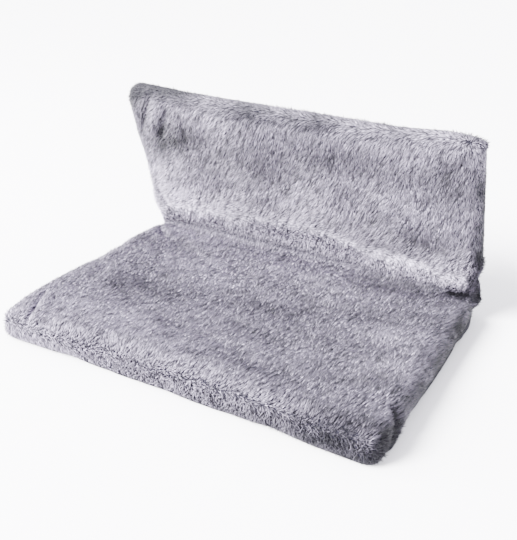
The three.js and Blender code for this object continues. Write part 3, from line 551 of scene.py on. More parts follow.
def press_seat(out, seat):
    """The groove, folds and wrinkles of the seat's face, its front left corner, and the fold on its right wall."""
    x, y, z = seat.T
    plan, front = seat[:, :2], SEAT_LENGTH
    on_seat = ramp(z, -22 * MM, -10 * MM) * ramp(y, 4 * MM, 24 * MM) * ramp(z, 12 * MM, 4 * MM)
    uneven = 0.6 + 0.4 * np.sin(y / (37 * MM)) * np.sin(y / (61 * MM) + 1)
    groove = -HALF + 34 * MM + 0.1 * (y - 0.144)
    drop = 2.4 * MM * uneven * soft_bump(x - groove, 8 * MM) * ramp(y, front - 20 * MM, front - 60 * MM)
    turning = (-HALF + 34 * MM, front - 22 * MM)
    drop += 3.6 * MM * fold_line(plan, (-HALF + 20 * MM, front - 54 * MM), turning, 3.5 * MM, 8 * MM)
    drop += 4 * MM * fold_line(plan, turning, (-HALF + 44 * MM, front + 4 * MM), 4 * MM, 6 * MM)
    drop += 3 * MM * soft_bump(np.hypot(x + HALF - 8 * MM, y - front + 8 * MM), 24 * MM)
    for deep, line in wrinkle_lines(plan, SEAT_WRINKLES):
        drop += deep * MM * line
    drop -= 16 * MM * np.clip(sheen_patch_tone(seat, SEAT_SHEEN_PATCHES), -0.16, 0.14)
    out[:, 2] -= drop * on_seat
    out[:, 0] += 4 * MM * soft_bump(np.hypot(x + HALF, y - front), 40 * MM) * ramp(y, 4 * MM, 24 * MM)
    side = seat[:, 1:]
    at_wall = ramp(x, HALF - 16 * MM, HALF - 8 * MM)
    near = fold_line(side, *GATHER, 4.5 * MM, 5 * MM) * at_wall
    bulge = fold_line(side, (front - 60 * MM, -14 * MM), (front - 34 * MM, -29 * MM), 5 * MM, 5 * MM) * at_wall
    out[:, 0] += 2.5 * MM * bulge - 6.5 * MM * near


def open_notch(out, seat):
    """The small dark notch where the two panels part at the fold's right end, and a slight one at its left."""
    x, y, z = seat.T
    corner_line = np.hypot(y - 5 * MM, z - 3 * MM)
    notch = 15 * MM * soft_bump(corner_line, 9 * MM) * ramp(x, HALF - 36 * MM, HALF - 10 * MM)
    notch += 3 * MM * soft_bump(corner_line, 8 * MM) * ramp(-x, HALF - 44 * MM, HALF - 10 * MM)
    out[:, 1] += 0.82 * notch
    out[:, 2] -= 0.57 * notch


def push_into_back(out, depth):
    """Moves points square to the back's face, towards its rear."""
    out[:, 1] += depth * math.cos(LEAN)
    out[:, 2] += depth * math.sin(LEAN)


def press_back(out, back, high, loose):
    """The back's pointed right tip, drawn-in right edge and crest, its loose lining, and its face's wrinkles."""
    x, y, z = back.T
    plan, top = back[:, :2], BACK_LENGTH
    tip = soft_bump(np.hypot(x - HALF + 6 * MM, y - top + 7 * MM), 6.5 * MM) * high
    waist = ramp(y, top - 160 * MM, top - 34 * MM) * ramp(x, HALF - 60 * MM, HALF - 6 * MM)
    crest = soft_bump(x - HALF + 46 * MM, 30 * MM) * ramp(y, top - 40 * MM, top - 8 * MM) * high
    out[:, 0] += 6 * MM * tip - 4.5 * MM * waist * high
    out[:, 1] -= 2.5 * MM * crest * math.sin(LEAN)
    out[:, 2] += 2.5 * MM * crest * math.cos(LEAN)
    # the lining's dents fade out at the seams, the zip and the slits
    at_slits = soft_bump(np.abs(x) - HOOK_X, 24 * MM) * soft_bump(y - ARM_TOP, 18 * MM) + soft_bump(y - ZIP_Y, 12 * MM)
    rear = ramp(-z, 20 * MM, 25 * MM) * high * ramp(edge_inset(BACK, plan), 10 * MM, 34 * MM)
    push_into_back(out, 0.9 * MM * loose * (rear * (1 - np.minimum(at_slits, 1))))
    face = ramp(np.abs(x), HALF - 3 * MM, HALF - 10 * MM) * ramp(y, top - 3 * MM, top - 10 * MM)
    push = np.zeros(len(out))
    for deep, line in wrinkle_lines(plan, BACK_WRINKLES):
        push += deep * MM * line
    push = push * face - 14 * MM * np.clip(sheen_patch_tone(back, BACK_SHEEN_PATCHES), -0.15, 0.14)
    push *= high * ramp(z, -20 * MM, -8 * MM)
    push_into_back(out, push)


def lowest_height(seat, loose):
    """How low the cover may hang: higher under the stitches, and unevenly inside them where the lining is loose."""
    inset = edge_inset(SEAT, seat[:, :2])
    dents = 1.3 * MM * np.clip(loose + 0.6, 0, 1.6) * ramp(inset, SEAT_STITCHES_IN, 44 * MM)
    lowest = 0.6 * MM + 1.2 * MM * soft_bump(inset - SEAT_STITCHES_IN, 4 * MM) + dents
    return np.where(seat[:, 1] > 0, lowest, 0.6 * MM)


def press_and_fold(points):
    """The dents, folds and ridges that the photograph shows, pressed into the padded body."""
    out = points.copy()
    seat, back = in_seat_frame(points), in_back_frame(points)
    loose = flow_noise(points, 0.1, 31)[:, 0] + 0.5 * flow_noise(points, 0.035, 32)[:, 0]
    press_seat(out, seat)
    open_notch(out, seat)
    press_back(out, back, back_share(points, 8 * MM, 26 * MM), loose)
    out[:, 2] = np.maximum(out[:, 2], lowest_height(seat, loose))
    return out


def across_fold(made):
    """Bakes the piece's place into its points; it does not bend with the fold."""
    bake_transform(made)


# Finishes


def new_material(name):
    material = bpy.data.materials.new(name)
    material.use_nodes = True
    tree = material.node_tree
    tree.nodes.clear()
    out = tree.nodes.new("ShaderNodeOutputMaterial")
    shader = tree.nodes.new("ShaderNodeBsdfPrincipled")
    tree.links.new(shader.outputs["BSDF"], out.inputs["Surface"])
    return material, tree, shader


def set_inputs(node, **values):
    """Sets a node's own sockets; an underscore stands for the space in a socket's name."""
    for key, value in values.items():
        node.inputs[key.replace("_", " ")].default_value = value


def effect_group(name, inputs, outputs):
    """A node group that takes a Vector and the numbers in inputs, with their defaults, and gives out numbers."""
    group = bpy.data.node_groups.new(name, "ShaderNodeTree")
    group.interface.new_socket(name="Vector", in_out="INPUT", socket_type="NodeSocketVector")
    for label, default in inputs.items():
        socket = group.interface.new_socket(name=label, in_out="INPUT", socket_type="NodeSocketFloat")
        socket.default_value = default
    for label in outputs:
        group.interface.new_socket(name=label, in_out="OUTPUT", socket_type="NodeSocketFloat")
    return group, group.nodes.new("NodeGroupInput"), group.nodes.new("NodeGroupOutput")


def math_node(tree, operation, a, b=None):
    node = tree.nodes.new("ShaderNodeMath")
    node.operation = operation
    for slot, value in enumerate((a, b)):
        if value is None:
            continue
        if isinstance(value, (int, float)):
            node.inputs[slot].default_value = value
        else:
            tree.links.new(value, node.inputs[slot])
    return node.outputs[0]


def value_mix(tree, factor, a, b):
    mix = tree.nodes.new("ShaderNodeMix")
    for slot, value in ((0, factor), (2, a), (3, b)):
        tree.links.new(value, mix.inputs[slot])
    return mix.outputs[0]


def mottle_group():
    """Slow patches and fine specks over a surface, as one value round 0.5."""
    group, given, result = effect_group(
        "mottle", {"Patch Scale": 18.0, "Speck Scale": 900.0, "Speck Share": 0.3}, ["Value"])

    def noise(detail, scale):
        node = group.nodes.new("ShaderNodeTexNoise")
        node.inputs["Detail"].default_value = detail
        group.links.new(given.outputs["Vector"], node.inputs["Vector"])
        group.links.new(given.outputs[scale], node.inputs["Scale"])
        return node.outputs["Fac"]

    mixed = value_mix(group, given.outputs["Speck Share"], noise(3, "Patch Scale"), noise(2, "Speck Scale"))
    group.links.new(mixed, result.inputs["Value"])
    return group


def weave_group():
    """A plain weave of warp and weft: a height, and the share of each yarn that catches light."""
    group, given, result = effect_group("plain weave", {"Yarns per Metre": 900.0}, ["Height", "Light"])

    def times(a, b):
        return math_node(group, "MULTIPLY", a, b)

    def wave(value):
        return math_node(group, "SINE", value)

    split = group.nodes.new("ShaderNodeSeparateXYZ")
    group.links.new(given.outputs["Vector"], split.inputs[0])
    turns = times(given.outputs["Yarns per Metre"], math.pi)
    across = times(split.outputs[0], turns)
    # the second direction follows height and depth together, so that it runs up the back and along the seat
    along = times(math_node(group, "SUBTRACT", split.outputs[2], times(split.outputs[1], 0.94)), turns)
    warp = math_node(group, "ABSOLUTE", wave(across))
    weft = math_node(group, "ABSOLUTE", wave(along))
    over = math_node(group, "GREATER_THAN", times(wave(times(across, 0.5)), wave(times(along, 0.5))), 0.0)
    group.links.new(value_mix(group, over, warp, weft), result.inputs["Height"])
    group.links.new(times(warp, weft), result.inputs["Light"])
    return group


def group_node(tree, group, **values):
    node = tree.nodes.new("ShaderNodeGroup")
    node.node_tree = group
    coords = tree.nodes.new("ShaderNodeTexCoord")
    tree.links.new(coords.outputs["Object"], node.inputs["Vector"])
    set_inputs(node, **values)
    return node


def colour_mix(tree, factor, dark, light):
    mix = tree.nodes.new("ShaderNodeMix")
    mix.data_type = "RGBA"
    tree.links.new(factor, mix.inputs["Factor"])
    for socket, colour in ((6, dark), (7, light)):
        if isinstance(colour, (tuple, list)):
            mix.inputs[socket].default_value = (*colour, 1)
        else:
            tree.links.new(colour, mix.inputs[socket])
    return mix.outputs[2]


def colour_from(tree, shader, factor, dark, light):
    tree.links.new(colour_mix(tree, factor, dark, light), shader.inputs["Base Color"])


def bump_from(tree, shader, height, strength, distance):
    bump = tree.nodes.new("ShaderNodeBump")
    set_inputs(bump, Strength=strength, Distance=distance)
    tree.links.new(height, bump.inputs["Height"])
    tree.links.new(bump.outputs["Normal"], shader.inputs["Normal"])


def scaled(colour, times):
    return tuple(min(1.0, channel * times) for channel in colour)


def make_finishes(sizes):
    """All materials of the bed, by finish name."""
    made = {}
    mottle, weave = mottle_group(), weave_group()
    root, tip = tuple(sizes.shaded_root_colour), tuple(sizes.tip_colour)

    made["backing"], tree, shader = new_material("pile backing")
    # the backing is mottled round the shaded root colour, as painted shade deep in the pile
    mottled = group_node(tree, mottle, Patch_Scale=60.0, Speck_Scale=1200.0, Speck_Share=0.5).outputs["Value"]
    colour_from(tree, shader, mottled, scaled(root, 0.8), scaled(root, 2.6))
    bump_from(tree, shader, mottled, 0.6, 0.8 * MM)
    set_inputs(shader, Roughness=1, Specular_IOR_Level=0.03)

    made["pile"], tree, shader = new_material("grey pile")
    # the strand tone, which carries the painted sheen and shade, mixes the shaded root colour into the tip colour
    tone = tree.nodes.new("ShaderNodeAttribute")
    tone.attribute_name = "strand_tone"
    colour_from(tree, shader, tone.outputs["Fac"], root, tip)
    set_inputs(shader, Roughness=0.5, Specular_IOR_Level=0.15, Sheen_Weight=0.03, Sheen_Roughness=0.4)

    def woven(name, colour, yarns, bump):
        material, tree, shader = new_material(name)
        cloth = group_node(tree, weave, Yarns_per_Metre=yarns)
        patches = group_node(tree, mottle, Patch_Scale=22.0, Speck_Scale=700.0, Speck_Share=0.35)
        light = colour_mix(tree, cloth.outputs["Light"], scaled(colour, 0.62), scaled(colour, 1.3))
        colour_from(tree, shader, patches.outputs["Value"], light, scaled(colour, 1.25))
        bump_from(tree, shader, cloth.outputs["Height"], bump, 0.4 * MM)
        set_inputs(shader, Roughness=0.9, Specular_IOR_Level=0.08, Sheen_Weight=0.03)
        return material

    made["lining"] = woven("woven lining", tuple(sizes.lining_colour), yarns=900.0, bump=0.7)
    made["tape"] = woven("zip tape", scaled(sizes.lining_colour, 1.2), yarns=1300.0, bump=0.5)
    made["thread"] = woven("sewing thread", tuple(sizes.thread_colour), yarns=2600.0, bump=0.5)
    made["wadding"] = woven("wadding", (0.5, 0.5, 0.49), yarns=400.0, bump=0.9)

    def plain(name, colour, rough, speck, patch, share, spread, bump, **own):
        material, tree, shader = new_material(name)
        mottled = group_node(tree, mottle, Patch_Scale=patch, Speck_Scale=speck, Speck_Share=share).outputs["Value"]
        colour_from(tree, shader, mottled, scaled(colour, 1 - spread), scaled(colour, 1 + spread))
        roughness = math_node(tree, "ADD", math_node(tree, "MULTIPLY", mottled, 0.3), rough - 0.15)
        tree.links.new(roughness, shader.inputs["Roughness"])
        bump_from(tree, shader, mottled, bump, 0.3 * MM)
        set_inputs(shader, **own)
        return material

    made["coated"] = plain(
        "powder coated steel", tuple(sizes.coat_colour),
        rough=0.42, speck=1500.0, patch=30.0, share=0.6, spread=0.12, bump=0.35)
    made["zinc"] = plain(
        "zinc plated steel", (0.36, 0.37, 0.38),
        rough=0.34, speck=2600.0, patch=120.0, share=0.45, spread=0.25, bump=0.2, Metallic=1.0)
    made["plastic"] = plain(
        "dark moulded plastic", (0.005, 0.005, 0.006),
        rough=0.5, speck=2200.0, patch=60.0, share=0.7, spread=0.35, bump=0.4, Specular_IOR_Level=0.2)
    made["cap"] = plain(
        "soft vinyl cap", (0.008, 0.008, 0.0095),
        rough=0.62, speck=1400.0, patch=40.0, share=0.5, spread=0.3, bump=0.5, Specular_IOR_Level=0.2)
    made["nylon"] = plain(
        "white nylon", (0.55, 0.54, 0.5), rough=0.5, speck=1800.0, patch=60.0, share=0.4, spread=0.1, bump=0.2)
    return made


FINISH = {}


def dress(made, finish):
    made.data.materials.clear()
    made.data.materials.append(FINISH[finish])


# Pile


def scatter(points, triangles, normals, spacing, rng):
    """Roots spread evenly by area over the given triangles, with the normal at each."""
    a, b, c = (points[triangles[:, k]] for k in range(3))
    area = 0.5 * np.linalg.norm(np.cross(b - a, c - a), axis=1)
    count = np.floor(area / spacing**2 + rng.random(len(area))).astype(int)
    which = np.repeat(np.arange(len(area)), count)
    r1, r2 = np.sqrt(rng.random(len(which))), rng.random(len(which))
    weights = np.column_stack([1 - r1, r1 * (1 - r2), r1 * r2])[:, :, None]
    chosen = triangles[which]
    roots = (points[chosen] * weights).sum(axis=1)
    normal = (normals[chosen] * weights).sum(axis=1)
    return roots, normal / lengths(normal)


def scrambled(cells, seed):
    """Three repeatable numbers from 0 to 1 for each whole-number cell."""
    mixed = cells.astype(np.int64) @ np.array([73856093, 19349663, 83492791]) + seed * 2654435761
    out = []
    for turn in range(3):
        mixed = (mixed ^ (mixed >> 13)) * 1274126177 + turn * 374761393
        mixed &= 0x7FFFFFFF
        out.append((mixed % 100003) / 100003)
    return np.stack(out, axis=-1)


def nearest_lock(points, spacing):
    """The nearest of a set of lock centres, one in each cell of a grid at a random place in it, with the
    distance to it and a number from 0 to 1 that is the lock's own."""
    base = np.floor(points / spacing).astype(int)
    best = np.full(len(points), np.inf)
    centre_of = points.copy()
    own = np.zeros(len(points))
    for offset in np.ndindex(3, 3, 3):
        cell = base + np.array(offset) - 1
        centre = (cell + scrambled(cell, 3)) * spacing
        distance = ((centre - points) ** 2).sum(axis=1)
        nearer = distance < best
        best[nearer] = distance[nearer]
        centre_of[nearer] = centre[nearer]
        own[nearer] = scrambled(cell[nearer], 8)[:, 0]
    return centre_of, np.sqrt(best), own


def pile_tone_and_shade(roots, normals):
    """The painted sheen and shade of the pile at each root, apart from the strand itself, with a little tone that
    differs at random.
    """
    seat, back = in_seat_frame(roots), in_back_frame(roots)
    up_back = back_share(roots, -3 * MM, 8 * MM)
    # painted sheen and shade from the patches, on the seat and on the back
    tone = 2.5 * sheen_patch_tone(seat, SEAT_SHEEN_PATCHES) * (1 - up_back) + 2.1 * sheen_patch_tone(back, BACK_SHEEN_PATCHES) * up_back
    tone += 0.05 * flow_noise(roots, 0.07, 21)[:, 0] + 0.03 * flow_noise(roots, 0.024, 22)[:, 0]
    # painted shade along each wrinkle, and painted light along the one with negative depth, which stands up as a ridge
    for wrinkles, plan, share in ((SEAT_WRINKLES, seat[:, :2], 1 - up_back), (BACK_WRINKLES, back[:, :2], up_back)):
        for deep, line in wrinkle_lines(plan, wrinkles):
            tone -= 0.045 * deep * line * share
    # painted shade: the rolls and sides that turn away from the light are darkened, partly also because a roll shows
    # more of the dark roots; so are the seat towards its right, the back's right wall, the gathered fold on the seat's
    # right wall, the strip just above the lower seam on the right, and the back's upward faces, more on the left
    x = roots[:, 0]
    depth = -seat[:, 2] + 3 * MM * flow_noise(roots, 0.05, 23)[:, 0]
    front_roll = ramp(depth, 0, 19 * MM) * ramp(seat[:, 1], SEAT_LENGTH - 20 * MM, SEAT_LENGTH - 6 * MM)
    tone -= 0.23 * front_roll * (0.1 + 0.9 * ramp(x, -0.7 * HALF, HALF * 0.1)) * (1 - up_back)
    tone -= (0.035 + 0.12 * x / HALF + 0.26 * ramp(normals[:, 0], 0.35, 0.85)) * (1 - up_back)
    tone -= 0.4 * ramp(normals[:, 0], 0.3, 0.8) * ramp(back[:, 1], BACK_LENGTH + 60 * MM, 60 * MM) * up_back
    tone -= 0.3 * fold_line(seat[:, 1:], *GATHER, 5 * MM, 6 * MM) * ramp(x, HALF - 16 * MM, HALF - 8 * MM)
    above = roots[:, 2] - seam_height(seat[:, 1])
    tone -= 0.34 * ramp(above, 9 * MM, 1 * MM) * (1 - up_back) * ramp(x, HALF - 12 * MM, HALF - 6 * MM)
    left = ramp(-x, -HALF, 0.3 * HALF)
    tone -= up_back * (0.16 + 0.14 * left) * ramp(normals[:, 2], -0.25, 0.45)
    # painted shade where the nap turns on the lower back, on faces that don't turn sideways, to damp the light its
    # strands catch there
    tone -= up_back * 0.24 * np.sin(math.pi * turn_of_nap(roots)) * ramp(np.abs(normals[:, 0]), 0.7, 0.2)
    # the back is also darker over its upper left
    tone -= 0.16 * up_back * left * ramp(back[:, 1], 80 * MM, 170 * MM)
    # little light reaches the bottom of the fold, least of all the notch at its right end
    tone -= at_crease(seat, back) * (0.1 + 0.4 * ramp(x, HALF - 40 * MM, HALF - 14 * MM))
    return tone


def at_crease(seat, back):
    """How near points lie to the bottom of the fold between the two padded faces."""
    nearness = soft_bump(seat[:, 2] - back[:, 2] - 3 * MM, 8 * MM)
    return nearness * ramp(seat[:, 1], 34 * MM, 18 * MM) * ramp(seat[:, 2], -12 * MM, -4 * MM)


def turn_of_nap(roots):
    """0 in the fold, rising unevenly to 1 over the lowest part of the back."""
    height = in_back_frame(roots)[:, 1] + 9 * MM * flow_noise(roots, 0.1, 24)[:, 0]
    share = ramp(height, 8 * MM, 92 * MM)
    return share * share * (3 - 2 * share)


def ruffled(roots):
    """Where the pile stands up and tangles instead of lying brushed: the front roll and its corners."""
    seat = in_seat_frame(roots)
    front = ramp(-seat[:, 2], 3 * MM, 14 * MM) * ramp(seat[:, 1], SEAT_LENGTH - 24 * MM, SEAT_LENGTH - 8 * MM)
    return front * ramp(roots[:, 0], -0.2, 0.05)


def lay_of_pile(roots, normals, lay):
    """The way each strand leans: over the seat towards the fold, a little way on up the back, and then turning
    by the left until it points down the back. The strands stand up where the nap turns."""
    up_back = back_share(roots, -4 * MM, 12 * MM)[:, None]
    sideways = 0.55 - 0.4 * ramp(roots[:, :1], -0.05, 0.2)
    onward = np.concatenate([sideways, np.full_like(sideways, -0.29), np.full_like(sideways, 0.85)], axis=1)
    turned = math.pi * turn_of_nap(roots)[:, None]
    on_back = np.cos(turned) * onward + np.sin(turned) * np.array([-0.9, 0, 0])
    nap = np.array([0.42, 1.0, 0.0]) * (1 - up_back) + on_back * up_back
    nap = nap + flow_noise(roots, 0.12, 11) * 0.2 + flow_noise(roots, 0.03, 12) * 0.14
    nap -= part_along(nap, normals)
    nap /= np.maximum(lengths(nap), 0.25)
    upright = (1 - 0.6 * ruffled(roots)[:, None]) * (1 - 0.7 * up_back * np.sin(turned))
    return nap * lay * upright * (1 + 0.35 * flow_noise(roots, 0.055, 14)[:, :1])


def trimmed_share(roots, normals):
    """The share of its full length that a strand has: less at the lower seam, the back's right wall and the fold."""
    seat, back = in_seat_frame(roots), in_back_frame(roots)
    share = 0.4 + 0.6 * ramp(roots[:, 2] - seam_height(seat[:, 1]), 0, 8 * MM)
    on_right = ramp(normals[:, 0], 0.4, 0.85) * ramp(back[:, 1], 50 * MM, 110 * MM)
    share *= 1 - 0.5 * on_right * back_share(roots, 0, 20 * MM)
    return share * (1 - 0.3 * at_crease(seat, back))


def gather_in_locks(roots, tips, normals, rng, spacing):
    """Draws the tips together in locks, about 7 times as long along the streak as across it. Gives the new tips,
    each strand's distance from the middle of its lock, and the lock's own number."""
    up_back = back_share(roots, -4 * MM, 12 * MM)[:, None]
    streak = np.array([0.38, 0.92, 0.1]) * (1 - up_back) + np.array([-0.42, 0.3, -0.86]) * up_back
    streak /= lengths(streak)
    squeezed = tips - 0.86 * (tips * streak).sum(axis=1, keepdims=True) * streak
    centre, distance, own = nearest_lock(squeezed, spacing)
    to_lock = centre - squeezed
    to_lock -= part_along(to_lock, streak)
    to_lock -= part_along(to_lock, normals)
    tips = tips + to_lock * (0.3 + 0.3 * rng.random(len(roots)))[:, None]
    # three in ten of the locks lie deeper than the rest
    tips = tips + (roots - tips) * np.where(own < 0.3, 0.28, 0)[:, None]
    tips[:, 2] = np.maximum(tips[:, 2], 0.4 * MM)
    return tips, distance, own


def grow_pile(name, roots, normals, rng, sizes):
    """One mesh of strands, each a slim three-sided spike, with its tone, painted shade included, as an attribute."""
    count = len(roots)
    nap = lay_of_pile(roots, normals, sizes.pile_lay)
    messy = 0.1 + 0.4 * ruffled(roots)[:, None]
    direction = normals + nap + rng.normal(size=nap.shape) * messy * (1 + lengths(nap))
    direction /= lengths(direction)
    long = sizes.pile_length * trimmed_share(roots, normals) * (0.7 + 0.6 * rng.random(count))
    tips = roots + direction * long[:, None]
    tips, distance, own = gather_in_locks(roots, tips, normals, rng, sizes.lock_spacing)
    axis = tips - roots
    axis /= lengths(axis)
    side = np.cross(axis, rng.normal(size=axis.shape))
    side /= lengths(side)
    other = np.cross(axis, side)
    base = roots - normals * 0.5 * MM
    radius = (sizes.strand_radius * (0.7 + 0.6 * rng.random(count)))[:, None]
    rings = []
    for k in range(3):
        turn = 2 * math.pi * k / 3
        rings.append(base + (side * math.cos(turn) + other * math.sin(turn)) * radius)
    vertices = np.stack(rings + [tips], axis=1).reshape(-1, 3)
    vertices[:, 2] = np.maximum(vertices[:, 2], 0.1 * MM)
    start = np.arange(count)[:, None] * 4
    pattern = np.array([[0, 1, 3], [1, 2, 3], [2, 0, 3], [0, 2, 1]])
    faces = (start[:, :, None] + pattern[None]).reshape(-1, 3)
    # painted shade between the locks: a strand is darker the further its tip lies from its lock's middle
    edge = np.clip(distance / (0.62 * sizes.lock_spacing), 0, 1)
    # painted shade on the locks with the lowest numbers, which take in the ones that lie deeper, darker still on the
    # ruffled front roll; one strand in twenty is darker at random
    dark = np.where((own < 0.36) | (rng.random(count) < 0.05), 0.38 - 0.2 * ruffled(roots), 1.0)
    spread = dark * np.exp(0.6 * (2 * own - 1) + 0.16 * rng.normal(size=count))
    tip_tone = (0.56 + 1.15 * pile_tone_and_shade(roots, normals)) * spread * (1 - 0.5 * edge**2)
    tip_tone = np.clip(tip_tone, 0.01, 1)
    # painted shade deep in the pile: each root is far darker than its own tip
    shaded_root_tone = 0.22 * tip_tone
    tone = np.column_stack([shaded_root_tone, shaded_root_tone, shaded_root_tone, tip_tone]).ravel()
    mesh = bpy.data.meshes.new(name)
    mesh.vertices.add(len(vertices))
    mesh.vertices.foreach_set("co", vertices.astype(np.float32).ravel())
    mesh.loops.add(faces.size)
    mesh.loops.foreach_set("vertex_index", faces.astype(np.int32).ravel())
    mesh.polygons.add(len(faces))
    mesh.polygons.foreach_set("loop_start", np.arange(0, faces.size, 3, dtype=np.int32))
    mesh.update(calc_edges=True)
    attribute = mesh.attributes.new("strand_tone", "FLOAT", "POINT")
    attribute.data.foreach_set("value", tone.astype(np.float32))
    made = bpy.data.objects.new(name, mesh)
    bpy.context.collection.objects.link(made)
    return made


# Pieces


# The camera that was fitted to the outline in the photograph
CAMERA_AZIMUTH, CAMERA_ELEVATION, CAMERA_ROLL = math.radians(28.25), math.radians(25.46), math.radians(1.89)
CAMERA_DISTANCE = 0.9595
CAMERA_TARGET = Vector((-0.0142, 0.0634, 0.05))
CAMERA_LENS, CAMERA_SENSOR = 52.3, 36

FLOOR_COLOUR = (0.93, 0.922, 0.945, 1)
SKY_COLOUR, SKY_STRENGTH = (0.94, 0.93, 1, 1), 3.4
SUN_FROM, SUN_ENERGY, SUN_ANGLE = Vector((-0.47, -0.69, 0.55)), 40, math.radians(26)
SOFTBOX_PLACE, SOFTBOX_TARGET = Vector((-1.5, -0.9, 1.1)), Vector((0, 0, 0.08))
SOFTBOX_SIZE, SOFTBOX_POWER = 1.2, 150


def add_light(name, kind, place, source, **settings):
    """Adds a light that shines from the direction of source."""
    light = bpy.data.lights.new(name, kind)
    for key, value in settings.items():
        setattr(light, key, value)
    lamp = bpy.data.objects.new(name, light)
    lamp.location = place
    lamp.rotation_euler = source.to_track_quat("Z", "Y").to_euler()
    bpy.context.scene.collection.objects.link(lamp)


class CATBED_OT_studio(bpy.types.Operator):
    """Adds the pale floor, the soft lights and the camera of the photograph"""

    bl_idname = "catbed.studio"
    bl_label = "Studio"

    def execute(self, context):
        floor = primitive(bpy.ops.mesh.primitive_plane_add, size=16, location=(0, 0, 0))
        floor.name = "studio_floor"
        material, tree, shader = new_material("studio floor")
        set_inputs(shader, Base_Color=FLOOR_COLOUR, Roughness=0.9)
        floor.data.materials.append(material)
        world = bpy.data.worlds.new("studio")
        context.scene.world = world
        world.use_nodes = True
        set_inputs(world.node_tree.nodes["Background"], Color=SKY_COLOUR, Strength=SKY_STRENGTH)
        add_light("window sun", "SUN", (0, 0, 0), SUN_FROM, energy=SUN_ENERGY, angle=SUN_ANGLE)
        add_light(
            "left softbox", "AREA", SOFTBOX_PLACE, SOFTBOX_PLACE - SOFTBOX_TARGET,
            size=SOFTBOX_SIZE, energy=SOFTBOX_POWER)
        self.add_camera(context.scene)
        return {"FINISHED"}

    def add_camera(self, scene):
        flat = math.cos(CAMERA_ELEVATION)
        away = Vector((
            math.sin(CAMERA_AZIMUTH) * flat, -math.cos(CAMERA_AZIMUTH) * flat, math.sin(CAMERA_ELEVATION)))
        data = bpy.data.cameras.new("photo camera")
        data.sensor_fit = "VERTICAL"
        data.sensor_height = CAMERA_SENSOR
        data.lens = CAMERA_LENS
        camera = bpy.data.objects.new("photo camera", data)
        right = (-away).cross(Vector((0, 0, 1))).normalized()
        up = right.cross(-away)
        cos, sin = math.cos(CAMERA_ROLL), math.sin(CAMERA_ROLL)
        right, up = cos * right + sin * up, -sin * right + cos * up
        turn = Matrix((right, up, away)).transposed().to_4x4()
        camera.matrix_world = Matrix.Translation(CAMERA_TARGET + away * CAMERA_DISTANCE) @ turn
        scene.collection.objects.link(camera)
        scene.camera = camera


class CATBED_OT_cover(bpy.types.Operator):
    """Models the padded body of seat, inner corner and back, and swells it with a cloth simulation"""

    bl_idname = "catbed.cover"
    bl_label = "Padded cover"

    def execute(self, context):
        sizes = context.scene.catbed_sizes
        seat = slab("seat_form", SEAT, seat_point)
        back = slab("back_form", BACK, back_point)
        corner = inner_corner()
        only(seat)
        back.select_set(True)
        corner.select_set(True)
        bpy.ops.object.join()
        cover = context.active_object
        cover.name = "plush_cover"
        cover.data.name = "plush_cover"
        cover.data.remesh_voxel_size = VOXEL
        bpy.ops.object.voxel_remesh()
        apply_modifier(cover, "SMOOTH", "smooth", iterations=3, factor=0.5)
        inflate(cover, sizes.cover_swell)
        apply_modifier(cover, "SUBSURF", "finer", levels=1, render_levels=1)
        set_coordinates(cover, press_and_fold(coordinates(cover)))
        bpy.ops.object.shade_smooth()
        return {"FINISHED"}


class CATBED_OT_linings(bpy.types.Operator):
    """Cuts the woven underside and the back's rear panel from the shape of the cover, each with its slots"""

    bl_idname = "catbed.linings"
    bl_label = "Linings"

    def execute(self, context):
        cover = bpy.data.objects["plush_cover"]
        under = copy_of(cover, "seat_lining")
        tilt = Vector((0, (SEAM_FRONT - SEAM_REAR) / SEAT_LENGTH, 1)).normalized()
        keep_side(under, (0, FOLD_Y, SEAM_REAR), tilt)
        keep_side(under, (0, FOLD_Y - 4 * MM, 0), (0, 1, 0))
        rear = copy_of(cover, "rear_lining")
        keep_side(rear, back_vector(0, 0, REAR_SEAM), BACK_OUT)
        for lining in (under, rear):
            apply_modifier(lining, "SOLIDIFY", "cloth", thickness=1.2 * MM, offset=0.7, use_even_offset=False)
            keep_above_floor(lining)
        self.cut_slots(rear)
        for lining in (under, rear):
            dress(lining, "lining")
            smooth_by_angle(lining, 50)
        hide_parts("seat_underside")
        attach(under, "seat")
        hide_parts("back_rear_panel")
        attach(rear, "back")
        # room behind the rear panel for the zip tapes and the ends of the hook arms
        points = coordinates(cover)
        local = in_back_frame(points)
        y = local[:, 1]
        ends = ramp(y, -HEEL + 10 * MM, -HEEL + 22 * MM) * ramp(y, BACK_LENGTH - 8 * MM, BACK_LENGTH - 20 * MM)
        inside = ramp(HALF - np.abs(local[:, 0]), 10 * MM, 24 * MM) * ends
        depth = np.maximum(-22.5 * MM - local[:, 2], 0) * inside
        depth = np.where(points[:, 1] > FOLD_Y - 60 * MM, depth, 0)
        set_coordinates(cover, points + depth[:, None] * np.array(BACK_OUT))
        dress(cover, "backing")
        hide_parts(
            "seat_top_plush", "corner_plush", "back_front_plush", "back_heel_plush", "seat_padding",
            "back_padding")
        return {"FINISHED"}

    def cut_slots(self, rear):
        slits = [(side * HOOK_X, SLIT_Y, SLIT_HALF_X, SLIT_HALF_Y) for side in (-1, 1)]
        for x, y, half_x, half_y in [(0, ZIP_Y, ZIP_HALF, ZIP_SLIT_HALF), *slits]:
            cutter = primitive(bpy.ops.mesh.primitive_cube_add, size=2)
            cutter.data.transform(place_on_back(x, y) @ Matrix.Diagonal((half_x, half_y, 9 * MM, 1)))
            face_outwards(cutter)
            apply_modifier(rear, "BOOLEAN", "slot", object=cutter, operation="DIFFERENCE", solver="EXACT")
            bpy.data.objects.remove(cutter)


# Four triangles a strand keep a piece of this many under 200,000 triangles
STRANDS_IN_A_PIECE = 46000


